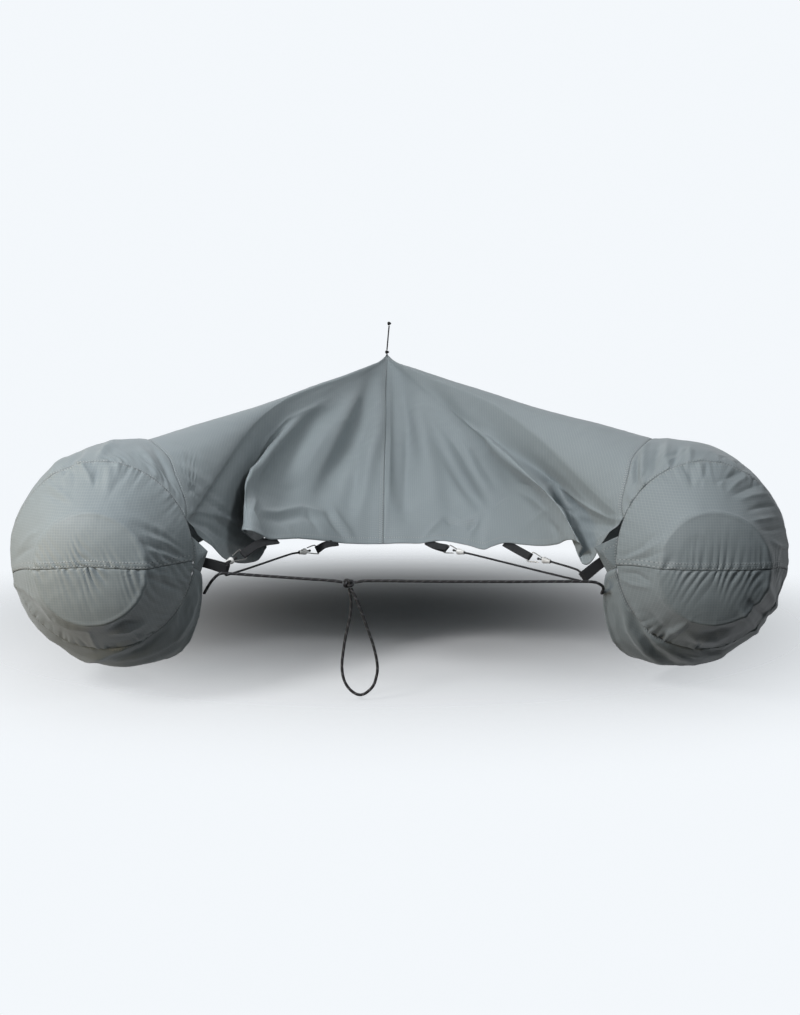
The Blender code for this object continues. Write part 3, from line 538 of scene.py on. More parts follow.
def crease_height(seen, creases, gain=1.0):
    """How far a table of creases lifts the cloth at points of the stern view."""
    total = np.zeros(seen.shape[:-1])
    for half_width, height, sharp, *line in creases:
        line = MM * np.reshape(line, (-1, 2))
        lengths = np.hypot(*np.diff(line, axis=0).T)
        starts = np.concatenate(((0.0,), np.cumsum(lengths)))
        best = np.full(seen.shape[:-1], 1e9)
        share = np.zeros(seen.shape[:-1])
        for k, (a, b) in enumerate(zip(line, line[1:])):
            run = b - a
            t = np.clip(((seen - a) @ run) / (run @ run), 0.0, 1.0)
            gap = np.hypot(*np.moveaxis(seen - a - t[..., None] * run, -1, 0))
            nearer = gap < best
            best = np.where(nearer, gap, best)
            share = np.where(nearer, (starts[k] + t * lengths[k]) / starts[-1], share)
        swell = np.sin(np.pi * np.clip(0.04 + 0.92 * share, 0.0, 1.0)) ** 0.7
        shape = np.exp(-((best / (MM * half_width)) ** (1.35 if sharp else 2.0)))
        total += gain * MM * height * swell * shape
    return total


def normals_of(points, outward):
    """Unit normals of a grid of points, turned to the side that outward(points) faces."""
    normal = np.cross(np.gradient(points, axis=0), np.gradient(points, axis=1))
    size = np.linalg.norm(normal, axis=-1, keepdims=True)
    normal = np.where(size > 1e-12, normal / np.maximum(size, 1e-12), 0.0)
    toward = outward(points)
    if np.sum(normal * toward) < 0.0:
        normal = -normal
    empty = size[..., 0] <= 1e-12
    normal[empty] = toward[empty] if toward.shape == normal.shape else toward
    return normal


def lengths_along(points, axis):
    """Metres along one axis of a grid of points."""
    steps = np.linalg.norm(np.diff(points, axis=axis), axis=-1)
    total = np.cumsum(steps, axis=axis)
    shape = list(total.shape)
    shape[axis] = 1
    return np.concatenate((np.zeros(shape), total), axis=axis)


def unevenness(points, size, seed):
    """Smooth noise over a grid of points, from about -1 to 1."""
    shift = Vector((seed, 2.0 * seed, -seed))
    flat = [noise.noise(Vector(point) / size + shift) for point in points.reshape(-1, 3)]
    return np.array(flat).reshape(points.shape[:-1])


def fade(gap, distance):
    """From 0 at a seam to 1 at a distance from it."""
    return np.clip(gap / distance, 0.0, 1.0)


def bell(away, half_width):
    """A soft rise that is 1 where away is 0."""
    return np.exp(-((away / half_width) ** 2))


def crumples(points, size, seed):
    """Faint sharp wrinkles, as cloth keeps from being folded away."""
    sharp = 1.0 - 2.2 * np.abs(unevenness(points, size, seed))
    patches = np.clip(0.5 + unevenness(points, 0.2, seed + 2.0), 0.1, 1.0)
    return 0.0011 * np.clip(sharp, 0.0, 1.0) ** 3 * patches


def gathers(run, gap, ragged, period, height, reach):
    """Puckers square to a seam: run along it, gap from it, and how uneven they are."""
    wave = 1.6 * np.abs(np.sin(math.pi * (run / period + 1.1 * ragged))) - 1.0
    uneven = np.clip(0.55 + 1.3 * ragged, 0.08, 1.4)
    return height * wave * uneven * np.exp(-gap / reach) * fade(gap, 0.004)


def seam_groove(gap, depth):
    """The hollow that a row of stitches draws into the cloth at its seam."""
    return -depth * np.exp(-gap / 0.002)


def lay_cloth(name, points, facing, uvs, finish, node):
    """A sheet of cloth through a grid of points, with its named UV maps in metres."""
    across, along = points.shape[0] - 1, points.shape[1] - 1
    piece = bmesh.new()
    bmesh.ops.create_grid(piece, x_segments=across, y_segments=along, size=1.0)
    mesh = bpy.data.meshes.new(name)
    piece.to_mesh(mesh)
    piece.free()
    flat = np.empty(len(mesh.vertices) * 3)
    mesh.vertices.foreach_get("co", flat)
    places = np.rint((flat.reshape(-1, 3)[:, :2] + 1.0) / 2.0 * (across, along)).astype(int)
    i, j = places.T
    mesh.vertices.foreach_set("co", (points + TO_PART)[i, j].ravel())
    direct = np.cross(np.gradient(points, axis=0), np.gradient(points, axis=1))
    if np.sum(direct * facing) < 0.0:
        mesh.flip_normals()
    corners = np.empty(len(mesh.loops), dtype=np.int32)
    mesh.loops.foreach_get("vertex_index", corners)
    for label, pair in uvs.items():
        layer = mesh.uv_layers.new(name=label)
        layer.data.foreach_set("uv", np.stack(pair, axis=-1)[i[corners], j[corners]].ravel())
    mesh.materials.append(finish.material)
    mesh.shade_smooth()
    mesh.update()
    made = bpy.data.objects.new(name + "_cloth", mesh)
    bpy.context.scene.collection.objects.link(made)
    body = made.modifiers.new("cloth", "SOLIDIFY")
    body.thickness = CLOTH_THICKNESS
    body.offset = -1.0
    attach(made, "root")
    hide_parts(node)
    return made


def ripstop(name, seams):
    """Coated ripstop: a fine square grid of thicker threads, and rows of stitches by its seams.

    seams holds, for each UV map of a seam, the distances of its rows of stitches from it.
    """
    finish = Finish(name, (0.245, 0.285, 0.300), 0.52)
    u, v = finish.uv("weave")
    threads = u.share(0.0052).peak(0.5, 0.11).math("MAXIMUM", v.share(0.0052).peak(0.5, 0.11))
    mottle = finish.spots(7.0, 3.0)
    base = finish.blend(mottle, (0.226, 0.266, 0.281, 1.0), (0.262, 0.302, 0.317, 1.0))
    grain = finish.spots(420.0, 1.0)
    base = finish.blend(grain * 0.5, base, (0.196, 0.232, 0.246, 1.0))
    base = finish.blend(threads * 0.55, base, (0.345, 0.385, 0.398, 1.0))
    height = threads * 0.10 + 0.5
    for label, rows in seams.items():
        along, gap = finish.uv(label)
        # Painted shade: a dark line along the very edge of each seam and hem, standing in for the shade in
        # the cloth's fold there
        seam_edge_shade = gap.peak(0.0, 0.0016)
        base = finish.blend(seam_edge_shade * 0.55, base, (0.060, 0.070, 0.075, 1.0))
        for k, row in enumerate(rows):
            dash = (along / 0.0058 + 0.37 * k).share(1.0).peak(0.42, 0.36) * 3.0
            stitch = gap.peak(row, 0.0015) * dash.math("MINIMUM", 1.0)
            # Painted shade: between the stitches the cloth is darkened where the thread pulls it into its
            # needle holes
            stitch_hole_shade = gap.peak(row, 0.0016) * (1.0 - dash.math("MINIMUM", 1.0))
            base = finish.blend(stitch * 0.75, base, (0.420, 0.450, 0.455, 1.0))
            base = finish.blend(stitch_hole_shade * 0.7, base, (0.105, 0.120, 0.128, 1.0))
            height = height + stitch * 0.9 - gap.peak(row, 0.0030) * 0.5
    finish.set("Base Color", base)
    finish.set("Roughness", finish.spots(26.0) * 0.16 + 0.44)
    finish.shader.inputs["Specular IOR Level"].default_value = 0.42
    finish.shader.inputs["Sheen Weight"].default_value = 0.12
    finish.bump(height, 0.0011, 0.7)
    return finish


# ---- Canopy
# The two halves of the tent, sewn along the middle, with a turned hem across the open
# stern.  Every spoke of cloth runs from the peak over a shoulder down to the edge.

# Rows of a side panel: station at the top seam, angle of the top seam, station on the
# outboard side, station at the drawcord hem, angle of the drawcord hem
PANEL_ROWS = (
    (0.157, -60.0, 0.170, 0.162, 260.0),
    (0.172, -51.0, 0.205, 0.180, 249.0),
    (0.195, -40.0, 0.245, 0.200, 237.0),
    (0.240, -28.0, 0.295, 0.240, 218.0),
    (0.300, -15.0, 0.360, 0.310, 200.0),
    (0.390, -6.0, 0.450, 0.410, 182.0),
    (0.530, 0.0, 0.580, 0.550, 164.0),
    (0.740, 2.0, 0.760, 0.750, 150.0),
    (1.000, 3.0, 1.000, 1.000, 142.0),
    (1.300, 3.0, 1.300, 1.300, 138.0),
    (1.600, 3.0, 1.600, 1.600, 137.0),
)
BOW_ROWS = 7
BOW_HEM_ANGLE = 136.0
OUTBOARD_SHARE = 0.4

# Spokes of the stern edge, from the centre seam outboard to the boot.
# hem x, y, z, and the shoulder where the cloth turns down: x, y, z, in millimetres
CENTRE_SPOKE = (-39, 550, -11, -39, 620, 89)
PORT_SPOKES = (
    (-83, 545, -11, -80, 620, 90),
    (-134, 520, -6, -131, 610, 90),
    (-180, 470, 6, -182, 585, 90),
    (-225, 410, 17, -235, 550, 95),
    (-257, 350, 22, -276, 520, 104),
    (-283, 300, 27, -308, 470, 124),
    (-301, 262, 43, -326, 430, 140),
    (-319, 250, 52, -337, 410, 152),
    (-334, 270, 49, -345, 420, 156),
    (-330, 330, 32, -345, 460, 147),
    (-326, 420, 11, -345, 510, 128),
    (-324, 520, -7, -346, 550, 111),
    (-320, 585, -21, -347, 580, 93),
    (-331, 610, -36, -358, 585, 75),
    (-342, 580, -52, -369, 560, 63),
    (-354, 490, -48, -372, 480, 58),
    (-360, 400, -37, -377, 420, 62),
    (-364, 310, -22, -382, 350, 70),
    (-374, 235, -4, -392, 290, 80),
    (-392, 195, 24, -407, 250, 87),
    (-417, 170, 51, -425, 220, 94),
)
STARBOARD_SPOKES = (
    (0, 545, -9, 0, 620, 85),
    (47, 545, -9, 46, 620, 77),
    (95, 540, -2, 90, 615, 73),
    (130, 535, -6, 128, 610, 68),
    (165, 525, -13, 164, 600, 72),
    (197, 515, -20, 195, 590, 77),
    (215, 505, -12, 220, 580, 85),
    (243, 480, -1, 252, 560, 96),
    (280, 440, 0, 283, 540, 110),
    (313, 390, 3, 315, 490, 115),
    (339, 320, 14, 324, 430, 115),
    (355, 250, 32, 331, 380, 112),
    (365, 205, 35, 334, 350, 110),
    (370, 180, 30, 337, 340, 110),
    (376, 205, 18, 341, 370, 115),
    (375, 233, 3, 345, 420, 122),
    (378, 224, -11, 355, 460, 131),
    (386, 208, -16, 370, 440, 128),
    (394, 194, -10, 385, 370, 121),
    (402, 184, 4, 400, 300, 111),
    (409, 174, 24, 417, 245, 98),
    (425, 160, 50, 430, 205, 91),
)

# Where the spokes pass half way down: at the skirt's corner, at the tuck and at the boot
PORT_CORNER = 9
PORT_TUCK = 13
PORT_MIDDLES = (Vector((-0.274, 0.71, 0.275)), Vector((-0.286, 0.72, 0.258)), Vector((-0.318, 0.68, 0.312)))
STARBOARD_CORNER = 14
STARBOARD_TUCK = 17
STARBOARD_MIDDLES = (Vector((0.196, 0.73, 0.252)), Vector((0.213, 0.73, 0.238)), Vector((0.255, 0.68, 0.310)))
RIDGE_ROW = 5
SIDE_SAG = 0.022
NECK = 0.38

# Soft folds, in millimetres: from x, z to x, z, half width, height
CANOPY_FOLDS = (
    (-24, 400, -8, 100, 16, -7),
    (-60, 385, -85, 110, 22, 7),
    (-80, 400, -155, 130, 20, -9),
    (-125, 340, -215, 120, 22, 9),
    (-210, 290, -330, 120, 24, -10),
    (20, 330, 95, 120, 26, 8),
    (110, 200, 185, 85, 16, -9),
    (150, 250, 215, 120, 15, 8),
    (190, 200, 240, 90, 14, -9),
    (130, 330, 270, 140, 26, 10),
)

# Creases on the stern view, in millimetres: half width, height, whether it is sharp, and
# the x and z of each of its points
CANOPY_CREASES = (
    (4.5, 2.6, 1, -21, 376, -18, 351, -17, 286, -19, 192, -23, 135, -27, 59),
    (19, -29, 0, -6, 372, 5, 323, 10, 249, 9, 164, 11, 109),
    (15.1, 7, 0, -30, 338, -43, 256, -62, 207, -76, 135, -79, 88),
    (20, -15.5, 0, -34, 357, -54, 312, -71, 266, -101, 226, -129, 183, -152, 139),
    (15.1, 8, 0, -83, 323, -128, 273, -160, 226, -186, 170),
    (22.6, -15, 0, -120, 308, -160, 282, -193, 240, -226, 192, -262, 151),
    (15.1, -10, 0, -70, 245, -83, 173, -92, 114),
    (8.5, 5, 0, -139, 322, -188, 294, -231, 252, -260, 200, -276, 151),
    (4.1, 3.5, 1, -156, 312, -216, 286, -250, 252, -275, 209, -289, 154),
    (5.6, -4, 1, -283, 192, -289, 135, -286, 94, -291, 71),
    (4.7, 5.4, 1, -272, 139, -280, 113, -261, 82),
    (4.9, 6.3, 1, -261, 115, -234, 111, -187, 120, -140, 111),
    (7.5, -5.4, 0, -261, 101, -227, 96, -189, 105, -155, 99),
    (4.1, -5.4, 1, -178, 116, -166, 97, -151, 73),
    (4.9, -9, 1, -142, 115, -125, 90, -102, 59),
    (7.5, 6.3, 0, -130, 120, -112, 90, -91, 63),
    (3.8, 1.5, 1, -219, 90, -208, 75, -204, 63),
    (16.5, -24, 0, 66, 335, 103, 289, 132, 262, 153, 229, 174, 183, 194, 145),
    (18.8, 9, 0, 30, 338, 45, 264, 58, 192, 70, 126),
    (13.2, -12, 0, 87, 237, 107, 196, 132, 154, 163, 115),
    (9.4, 7, 0, 71, 286, 119, 217, 155, 154),
    (13.2, 10, 0, 165, 252, 156, 218, 172, 173, 196, 126),
    (6.2, -5.5, 1, 172, 254, 198, 232, 228, 202, 262, 168, 290, 136),
    (12, 6, 0, 173, 237, 211, 203, 253, 162),
    (4.1, 5.4, 1, 79, 99, 62, 82, 44, 61),
    (4.1, -5.4, 1, 85, 99, 95, 90, 112, 86),
    (4.9, 4.5, 1, 98, 105, 117, 94, 136, 99, 166, 115),
    (4.5, 6.3, 1, 151, 99, 142, 82, 131, 67),
    (4.5, -5.4, 1, 142, 92, 129, 77),
    (4.1, 5.4, 1, 206, 139, 195, 128, 181, 120),
    (4.5, 5.4, 1, 223, 151, 251, 137, 276, 115, 253, 94, 233, 75),
    (9.4, -5.4, 0, 234, 135, 251, 116, 240, 97),
    (5.6, -4.5, 0, 280, 97, 295, 78, 303, 59),
    (6, 6, 1, 275, 158, 289, 164, 319, 152, 363, 118, 393, 101, 424, 96),
    (8.5, -10, 0, 287, 147, 313, 135, 355, 107, 390, 94),
    (8.5, -17, 0, 300, 143, 316, 133, 326, 122),
    (10, -14, 0, 329, 98, 361, 91, 410, 92),
    (4.9, 5, 1, 331, 130, 323, 113, 333, 96),
    (4.9, 3, 1, 344, 105, 374, 96, 412, 95),
    (5.6, 4, 1, 367, 50, 386, 65, 418, 86),
    (7.5, -4, 0, 352, 59, 378, 77, 409, 90),
    (5.6, -3, 0, 314, 97, 326, 75, 330, 50),
    (3.8, 2.4, 1, -446, 228, -410, 226, -365, 207),
    (3.4, -2.4, 1, -444, 217, -399, 207, -347, 177),
    (3.8, 3.1, 1, -439, 209, -396, 188, -336, 151),
    (3.4, -3.1, 1, -435, 203, -396, 175, -329, 126),
    (4.1, 3.7, 1, -431, 196, -385, 158, -310, 105),
    (3.4, -3.4, 1, -426, 186, -381, 145, -306, 94),
    (4.1, 3.4, 1, -422, 177, -378, 132, -303, 82),
    (4.5, -4, 0, -411, 154, -400, 152, -389, 156),
    (6.4, 5, 0, -412, 113, -367, 111, -318, 96, -295, 80),
    (6, -5, 0, -408, 99, -363, 84, -318, 50),
    (4.5, 5.1, 1, -405, 90, -371, 65, -349, 42),
    (4.5, -3, 1, -355, 101, -325, 82, -303, 67),
    (4.9, 3, 0, -337, 59, -311, 48, -284, 44),
    (4.1, 1.2, 1, 418, 226, 388, 207, 354, 177),
    (4.1, -1.4, 1, 415, 185, 385, 168, 359, 147),
    (4.1, 1.6, 1, 417, 151, 391, 137, 370, 122),
)
HEM_BAND = 0.017
FOLDS_END = 1.28
HEM_COLUMNS = 10
SEAM_COLUMNS = 4
CANOPY_SPANS = (20, 26, 40, 30)
PEAK_EASING = 1400


def panel_rows():
    """All rows of a side panel, from the boot's seam to the bow."""
    rows = [(CAP_STATION, SEAM_ANGLE, CAP_STATION, CAP_STATION, HEM_ANGLE)]
    rows += list(PANEL_ROWS)
    seam_angle, hem_angle = PANEL_ROWS[-1][1], PANEL_ROWS[-1][4]
    for i in range(BOW_ROWS):
        share = i / (BOW_ROWS - 1)
        station = BOW_STATION + BOW_REACH * share
        hem = hem_angle + (BOW_HEM_ANGLE - hem_angle) * share
        rows.append((station, seam_angle, station, station, hem))
    return rows


def panel_point(side, row, share):
    """Point of a side panel at a share of the way from its top seam to its hem."""
    seam_station, seam_angle, station, hem_station, hem_angle = row
    if share < OUTBOARD_SHARE:
        along = seam_station + (station - seam_station) * smooth(share / OUTBOARD_SHARE)
    else:
        beyond = (share - OUTBOARD_SHARE) / (1.0 - OUTBOARD_SHARE)
        along = station + (hem_station - station) * smooth(beyond)
    return sleeve_point(side, along, seam_angle + (hem_angle - seam_angle) * share)


def spoke_controls(side):
    """Peak, neck, middle, shoulder and edge of each spoke of one half of the canopy."""
    table = MM * np.array((CENTRE_SPOKE,) + (PORT_SPOKES if side < 0 else STARBOARD_SPOKES))
    corner, tuck = (PORT_CORNER, PORT_TUCK) if side < 0 else (STARBOARD_CORNER, STARBOARD_TUCK)
    corner_middle, tuck_middle, boot_middle = PORT_MIDDLES if side < 0 else STARBOARD_MIDDLES
    spokes = []
    for i, row in enumerate(table):
        edge, shoulder = Vector(row[:3]), Vector(row[3:])
        level = corner_middle.lerp(boot_middle, max(0, i - corner) / (len(table) - corner))
        if i <= corner:
            middle = PEAK.lerp(shoulder, 0.5).lerp(corner_middle, (i / corner) ** 1.6)
            level = middle
        elif i <= tuck:
            middle = corner_middle.lerp(tuck_middle, (i - corner) / (tuck - corner))
        else:
            middle = tuck_middle.lerp(boot_middle, (i - tuck) / (len(table) - tuck))
        spokes.append((PEAK, PEAK.lerp(level, NECK), middle, shoulder, edge))
    rows = panel_rows()
    ridge_middle = PEAK.lerp(panel_point(side, rows[RIDGE_ROW], 0.0), 0.5)
    for j, row in enumerate(rows):
        edge = panel_point(side, row, 0.0)
        share = smooth(j / RIDGE_ROW)
        if j <= RIDGE_ROW:
            middle = boot_middle.lerp(ridge_middle, share)
        else:
            middle = PEAK.lerp(edge, 0.5)
            middle.z -= SIDE_SAG * smooth((j - RIDGE_ROW) / 3.0)
        shoulder = edge.lerp(middle, 0.06 + 0.16 * share)
        spokes.append((PEAK, PEAK.lerp(middle, NECK), middle, shoulder, edge))
    return spokes


def canopy_grid(side):
    """Points of one half of the canopy, and the number of its columns that end at the hem."""
    controls = spoke_controls(side)
    hem_spokes = len(PORT_SPOKES if side < 0 else STARBOARD_SPOKES) + 1
    columns = []
    for block, steps in ((controls[:hem_spokes + 1], HEM_COLUMNS), (controls[hem_spokes:], SEAM_COLUMNS)):
        for k in range(bool(columns), steps * (len(block) - 1) + 1):
            columns.append([smooth_curve([spoke[m] for spoke in block], k / steps) for m in range(5)])
    rows = [0.0]
    for span, steps in enumerate(CANOPY_SPANS):
        rows += [span + (k + 1) / steps for k in range(steps)]
    points = np.array([[smooth_curve(column, t) for t in rows] for column in columns])
    # Easing draws the columns together from the peak down to the shoulders, less by the seam
    hem_end = hem_spokes * HEM_COLUMNS
    from_seam = np.clip((hem_end - np.arange(len(columns))) / (0.3 * hem_end), 0.03, 1.0)
    drawn = np.clip((2.9 - np.array(rows)) / 1.3, 0.0, 1.0)[None, :, None] * from_seam[1:-1, None, None]
    for _ in range(PEAK_EASING):
        points[1:-1] += drawn * 0.25 * (points[:-2] - 2.0 * points[1:-1] + points[2:])
    away = np.linalg.norm(points - np.array(PEAK), axis=-1)
    points[..., 2] += NIPPLE_HEIGHT * np.exp(-away / NIPPLE_WIDTH)
    return points, hem_end


def soft_folds(points):
    """How far the main folds lift the canopy at points seen square from the stern."""
    seen = points[..., ::2]
    total = np.zeros(seen.shape[:-1])
    for x0, z0, x1, z1, half_width, height in MM * np.array(CANOPY_FOLDS):
        run = np.array((x1 - x0, z1 - z0))
        near = np.clip(((seen - (x0, z0)) @ run) / (run @ run), 0.0, 1.0)
        gap = np.hypot(*np.moveaxis(seen - (x0, z0) - near[..., None] * run, -1, 0))
        swell = np.sin(np.pi * np.clip(0.08 + 0.84 * near, 0.0, 1.0)) ** 0.6
        total += height * swell * bell(gap, half_width)
    return total


def skyward(points):
    """The outer side of the canopy."""
    return np.broadcast_to((0.0, 0.0, 1.0), points.shape)


def add_canopy(name, side, finish):
    """One half of the canopy with its folds, creases, seams and hem."""
    points, hem_end = canopy_grid(side)
    column = np.arange(points.shape[0])[:, None]
    gap = lengths_along(points[:, ::-1], 1)[:, ::-1]
    edge_run = lengths_along(points, 0)[:, -1:]
    centre_gap = lengths_along(points, 0)
    at_hem = column <= hem_end
    facing = points[..., 1] < FOLDS_END
    ends = np.where(at_hem, 1.0, fade(gap, 0.03))
    normal = normals_of(points, skyward)
    points = points + normal * (soft_folds(points) * facing * ends)[..., None]
    normal = normals_of(points, skyward)
    ragged = unevenness(points, size=0.035, seed=3.0)
    lift = crease_height(stern_view(points), CANOPY_CREASES) * facing * ends
    lift += 0.0016 * unevenness(points, size=0.16, seed=7.0) * fade(centre_gap, 0.02) * ends
    lift += 0.0005 * unevenness(points, size=0.030, seed=5.0) * fade(centre_gap, 0.01) * ends
    seam_lift = gathers(edge_run, gap, ragged, period=0.019, height=0.0011, reach=0.016)
    seam_lift += seam_groove(gap, 0.0008)
    hem_lift = gathers(edge_run, gap, ragged, period=0.013, height=0.0006, reach=0.014)
    hem_lift += 0.0006 * (gap < HEM_BAND)
    lift += np.where(at_hem, hem_lift, seam_lift)
    lift += gathers(edge_run, gap, ragged, period=0.0085, height=0.0007, reach=0.010)
    lift += crumples(points, size=0.055, seed=9.0) * ends + 0.0005 * np.exp(-centre_gap / 0.004)
    points = points + normal * (lift + CLOTH_OUTER)[..., None]
    far = np.ones_like(gap)
    run = np.broadcast_to(edge_run, gap.shape)
    spoke_run = lengths_along(points, 1)
    uvs = {
        "weave": (points[..., 0], -0.88 * points[..., 1] - 0.48 * points[..., 2]),
        "hem": (run, np.where(at_hem, gap, far)),
        "side_seam": (run, np.where(at_hem, far, gap)),
        "centre_seam": (spoke_run, centre_gap),
    }
    return lay_cloth(name, points, skyward(points), uvs, finish, name)


port_canopy_cloth = ripstop("port_canopy_cloth", {
    "hem": (HEM_BAND,), "side_seam": (0.0035, 0.0095), "centre_seam": (0.0030, 0.0090),
})
starboard_canopy_cloth = ripstop("starboard_canopy_cloth", {
    "hem": (HEM_BAND,), "side_seam": (0.0035, 0.0095), "centre_seam": (),
})
canopies = (
    add_canopy("canopy_port", -1, port_canopy_cloth),
    add_canopy("canopy_starboard", 1, starboard_canopy_cloth),
)

# ---- Side panels
# Each runs from the canopy's seam over the top of its sleeve and round below to a drawcord
# hem, gathered into the ring seam of the boot, with a small flap where the hems meet.

PORT_CREASES = (
    (5.6, 3, 0, -530, 247, -553, 234, -569, 213),
    (5.6, 4, 1, -623, 215, -644, 200, -664, 177),
    (5.6, -3, 0, -610, 213, -629, 192, -641, 173),
    (4.5, -2.5, 0, -595, 228, -606, 215, -614, 200),
    (5.6, 2.5, 0, -493, 237, -471, 211, -456, 185),
    (4.9, -2.5, 0, -467, 234, -443, 196, -430, 162),
    (5.6, 5, 1, -610, 211, -592, 190, -581, 168),
    (5.6, -4, 0, -571, 200, -575, 177, -577, 160),
    (7.5, 2.5, 0, -546, 198, -549, 173, -555, 151),
    (4.5, -2, 0, -560, 198, -562, 181, -564, 166),
    (6.6, 2.5, 0, -664, 166, -642, 151, -619, 130),
    (5.6, -2, 0, -672, 151, -650, 137, -623, 126),
    (4.9, 2.5, 1, -406, 29, -439, 50, -488, 71),
    (4.1, -2.5, 1, -406, 21, -443, 37, -492, 56),
    (4.5, 2.5, 1, -408, 18, -440, 27, -481, 42),
    (4.9, -2, 1, -409, 39, -447, 65, -503, 90),
    (6.4, 1.8, 0, -413, 48, -458, 80, -514, 107),
    (5.6, 1.8, 0, -720, 44, -700, 67, -677, 80),
    (4.9, -1.8, 0, -732, 21, -713, 37, -690, 48),
    (5.6, 4, 1, -739, -23, -714, -34, -690, -51, -661, -90, -629, -107, -593, -115, -582, -142),
    (8.5, -3, 0, -722, -36, -692, -67, -670, -98, -637, -125),
    (6, -5, 0, -551, -109, -526, -98, -495, -96),
    (4.9, 4, 1, -549, -121, -518, -113, -484, -98),
    (4.9, -3, 0, -480, -11, -452, -23, -411, -40),
    (4.1, 2.5, 1, -474, -4, -440, -9, -403, -23),
    (4.1, -2, 1, -455, 2, -425, -17, -407, -36),
    (6.6, 3, 0, -645, -155, -603, -171, -565, -163),
    (6.4, 3, 0, -592, -173, -550, -155, -503, -132, -473, -109),
    (6.4, -3, 0, -539, -171, -492, -152, -450, -113),
    (5.6, -3, 0, -418, -36, -407, -55, -423, -98),
    (4.9, 3.5, 1, -391, -13, -388, -48, -400, -86, -427, -132),
)
STARBOARD_CREASES = (
    (6.4, 5, 0, 463, 249, 458, 207, 455, 154),
    (5.6, -5, 0, 446, 226, 445, 188, 451, 158),
    (6, -3.5, 0, 487, 245, 480, 211, 479, 181),
    (6, 3, 0, 504, 247, 501, 218, 497, 192),
    (4.9, -2.5, 0, 523, 237, 520, 218, 512, 200),
    (5.3, 3, 0, 546, 234, 546, 215, 541, 203),
    (4.1, 2, 0, 430, 151, 438, 132, 442, 116),
    (5.6, -4, 0, 542, 207, 548, 188, 551, 162),
    (5.6, 3, 0, 561, 207, 569, 185, 573, 162),
    (4.9, -2.5, 0, 580, 205, 573, 181, 566, 160),
    (4.9, 2.5, 1, 624, 196, 616, 181, 604, 162),
    (4.9, -3.5, 1, 644, 190, 622, 179, 596, 168),
    (4.5, 3, 1, 656, 181, 634, 166, 619, 151),
    (4.9, -2.8, 1, 679, 164, 653, 156, 627, 143),
    (4.9, 2.5, 1, 691, 147, 664, 143, 642, 135),
    (4.5, -2.8, 1, 707, 124, 680, 122, 658, 115),
    (4.5, 2.5, 1, 715, 103, 688, 99, 666, 96),
    (4.1, -2.2, 1, 725, 82, 704, 78, 685, 78),
    (4.5, 1.8, 0, 735, 44, 716, 48, 701, 59),
    (4.5, -1.8, 1, 421, 27, 455, 44, 485, 71),
    (4.1, 2.2, 1, 425, 21, 461, 35, 496, 56),
    (3.8, -2, 1, 432, 18, 466, 25, 500, 39),
    (4.5, 2.4, 1, 416, -13, 441, -25, 475, -32),
    (4.1, -2.5, 1, 418, -2, 448, -5, 475, -21),
    (6.4, 4, 0, 422, -55, 438, -109, 469, -152, 500, -179),
    (5.6, -4, 0, 434, -59, 457, -113, 489, -155, 527, -179),
    (6.4, 3, 0, 449, -67, 480, -121, 519, -155, 562, -179),
    (5.6, -3, 0, 476, -78, 499, -105, 526, -121),
    (6, 4, 0, 552, -98, 526, -113, 503, -121),
    (6.6, 3.5, 0, 545, -117, 568, -132, 603, -132, 629, -121),
    (6, -4, 0, 572, -121, 602, -117, 632, -105),
    (6.6, -4, 0, 662, -55, 685, -78, 704, -90),
    (6.6, 3, 0, 647, -74, 670, -101, 683, -125),
    (5.6, -3, 0, 584, -155, 622, -155, 660, -132),
    (6.6, 3, 0, 691, -17, 707, -48, 716, -78),
    (6, -3, 0, 727, -5, 726, -36, 708, -63),
)
PANEL_CREASE_GAIN = 1.9
PANEL_COLUMNS = 220
PANEL_SPANS = (5, 6, 8, 12, 14, 16, 14, 10, 8, 8, 8, 5, 5, 5, 5, 5, 5, 5)
FLAP_ANGLE = -78.0
FLAP_TIPS = {1: (0.394, 0.148, 0.029), -1: (-0.391, 0.155, 0.020)}


def panel_grid(side):
    """Points of a side panel: columns round the sleeve, rows along it."""
    rows = panel_rows()
    columns = []
    for i in range(PANEL_COLUMNS + 1):
        line = [panel_point(side, row, i / PANEL_COLUMNS) for row in rows]
        fine = [line[0]]
        for span, steps in enumerate(PANEL_SPANS):
            fine += [smooth_curve(line, span + (k + 1) / steps) for k in range(steps)]
        columns.append(fine)
    return np.array(columns)


def off_sleeve(side):
    """The outer side of the cloth round a sleeve."""
    def direction(points):
        along = np.clip((points[..., 1] - BOW_STATION) / BOW_REACH, 0.0, 1.0)
        middle = np.stack((
            side * SLEEVE_HALF_SPAN * np.cos(np.arcsin(along)), points[..., 1], BOW_RISE * along,
        ), axis=-1)
        middle[..., 1] = np.minimum(points[..., 1], BOW_STATION + 0.96 * BOW_REACH)
        away = points - middle
        return away / np.maximum(np.linalg.norm(away, axis=-1, keepdims=True), 1e-9)
    return direction


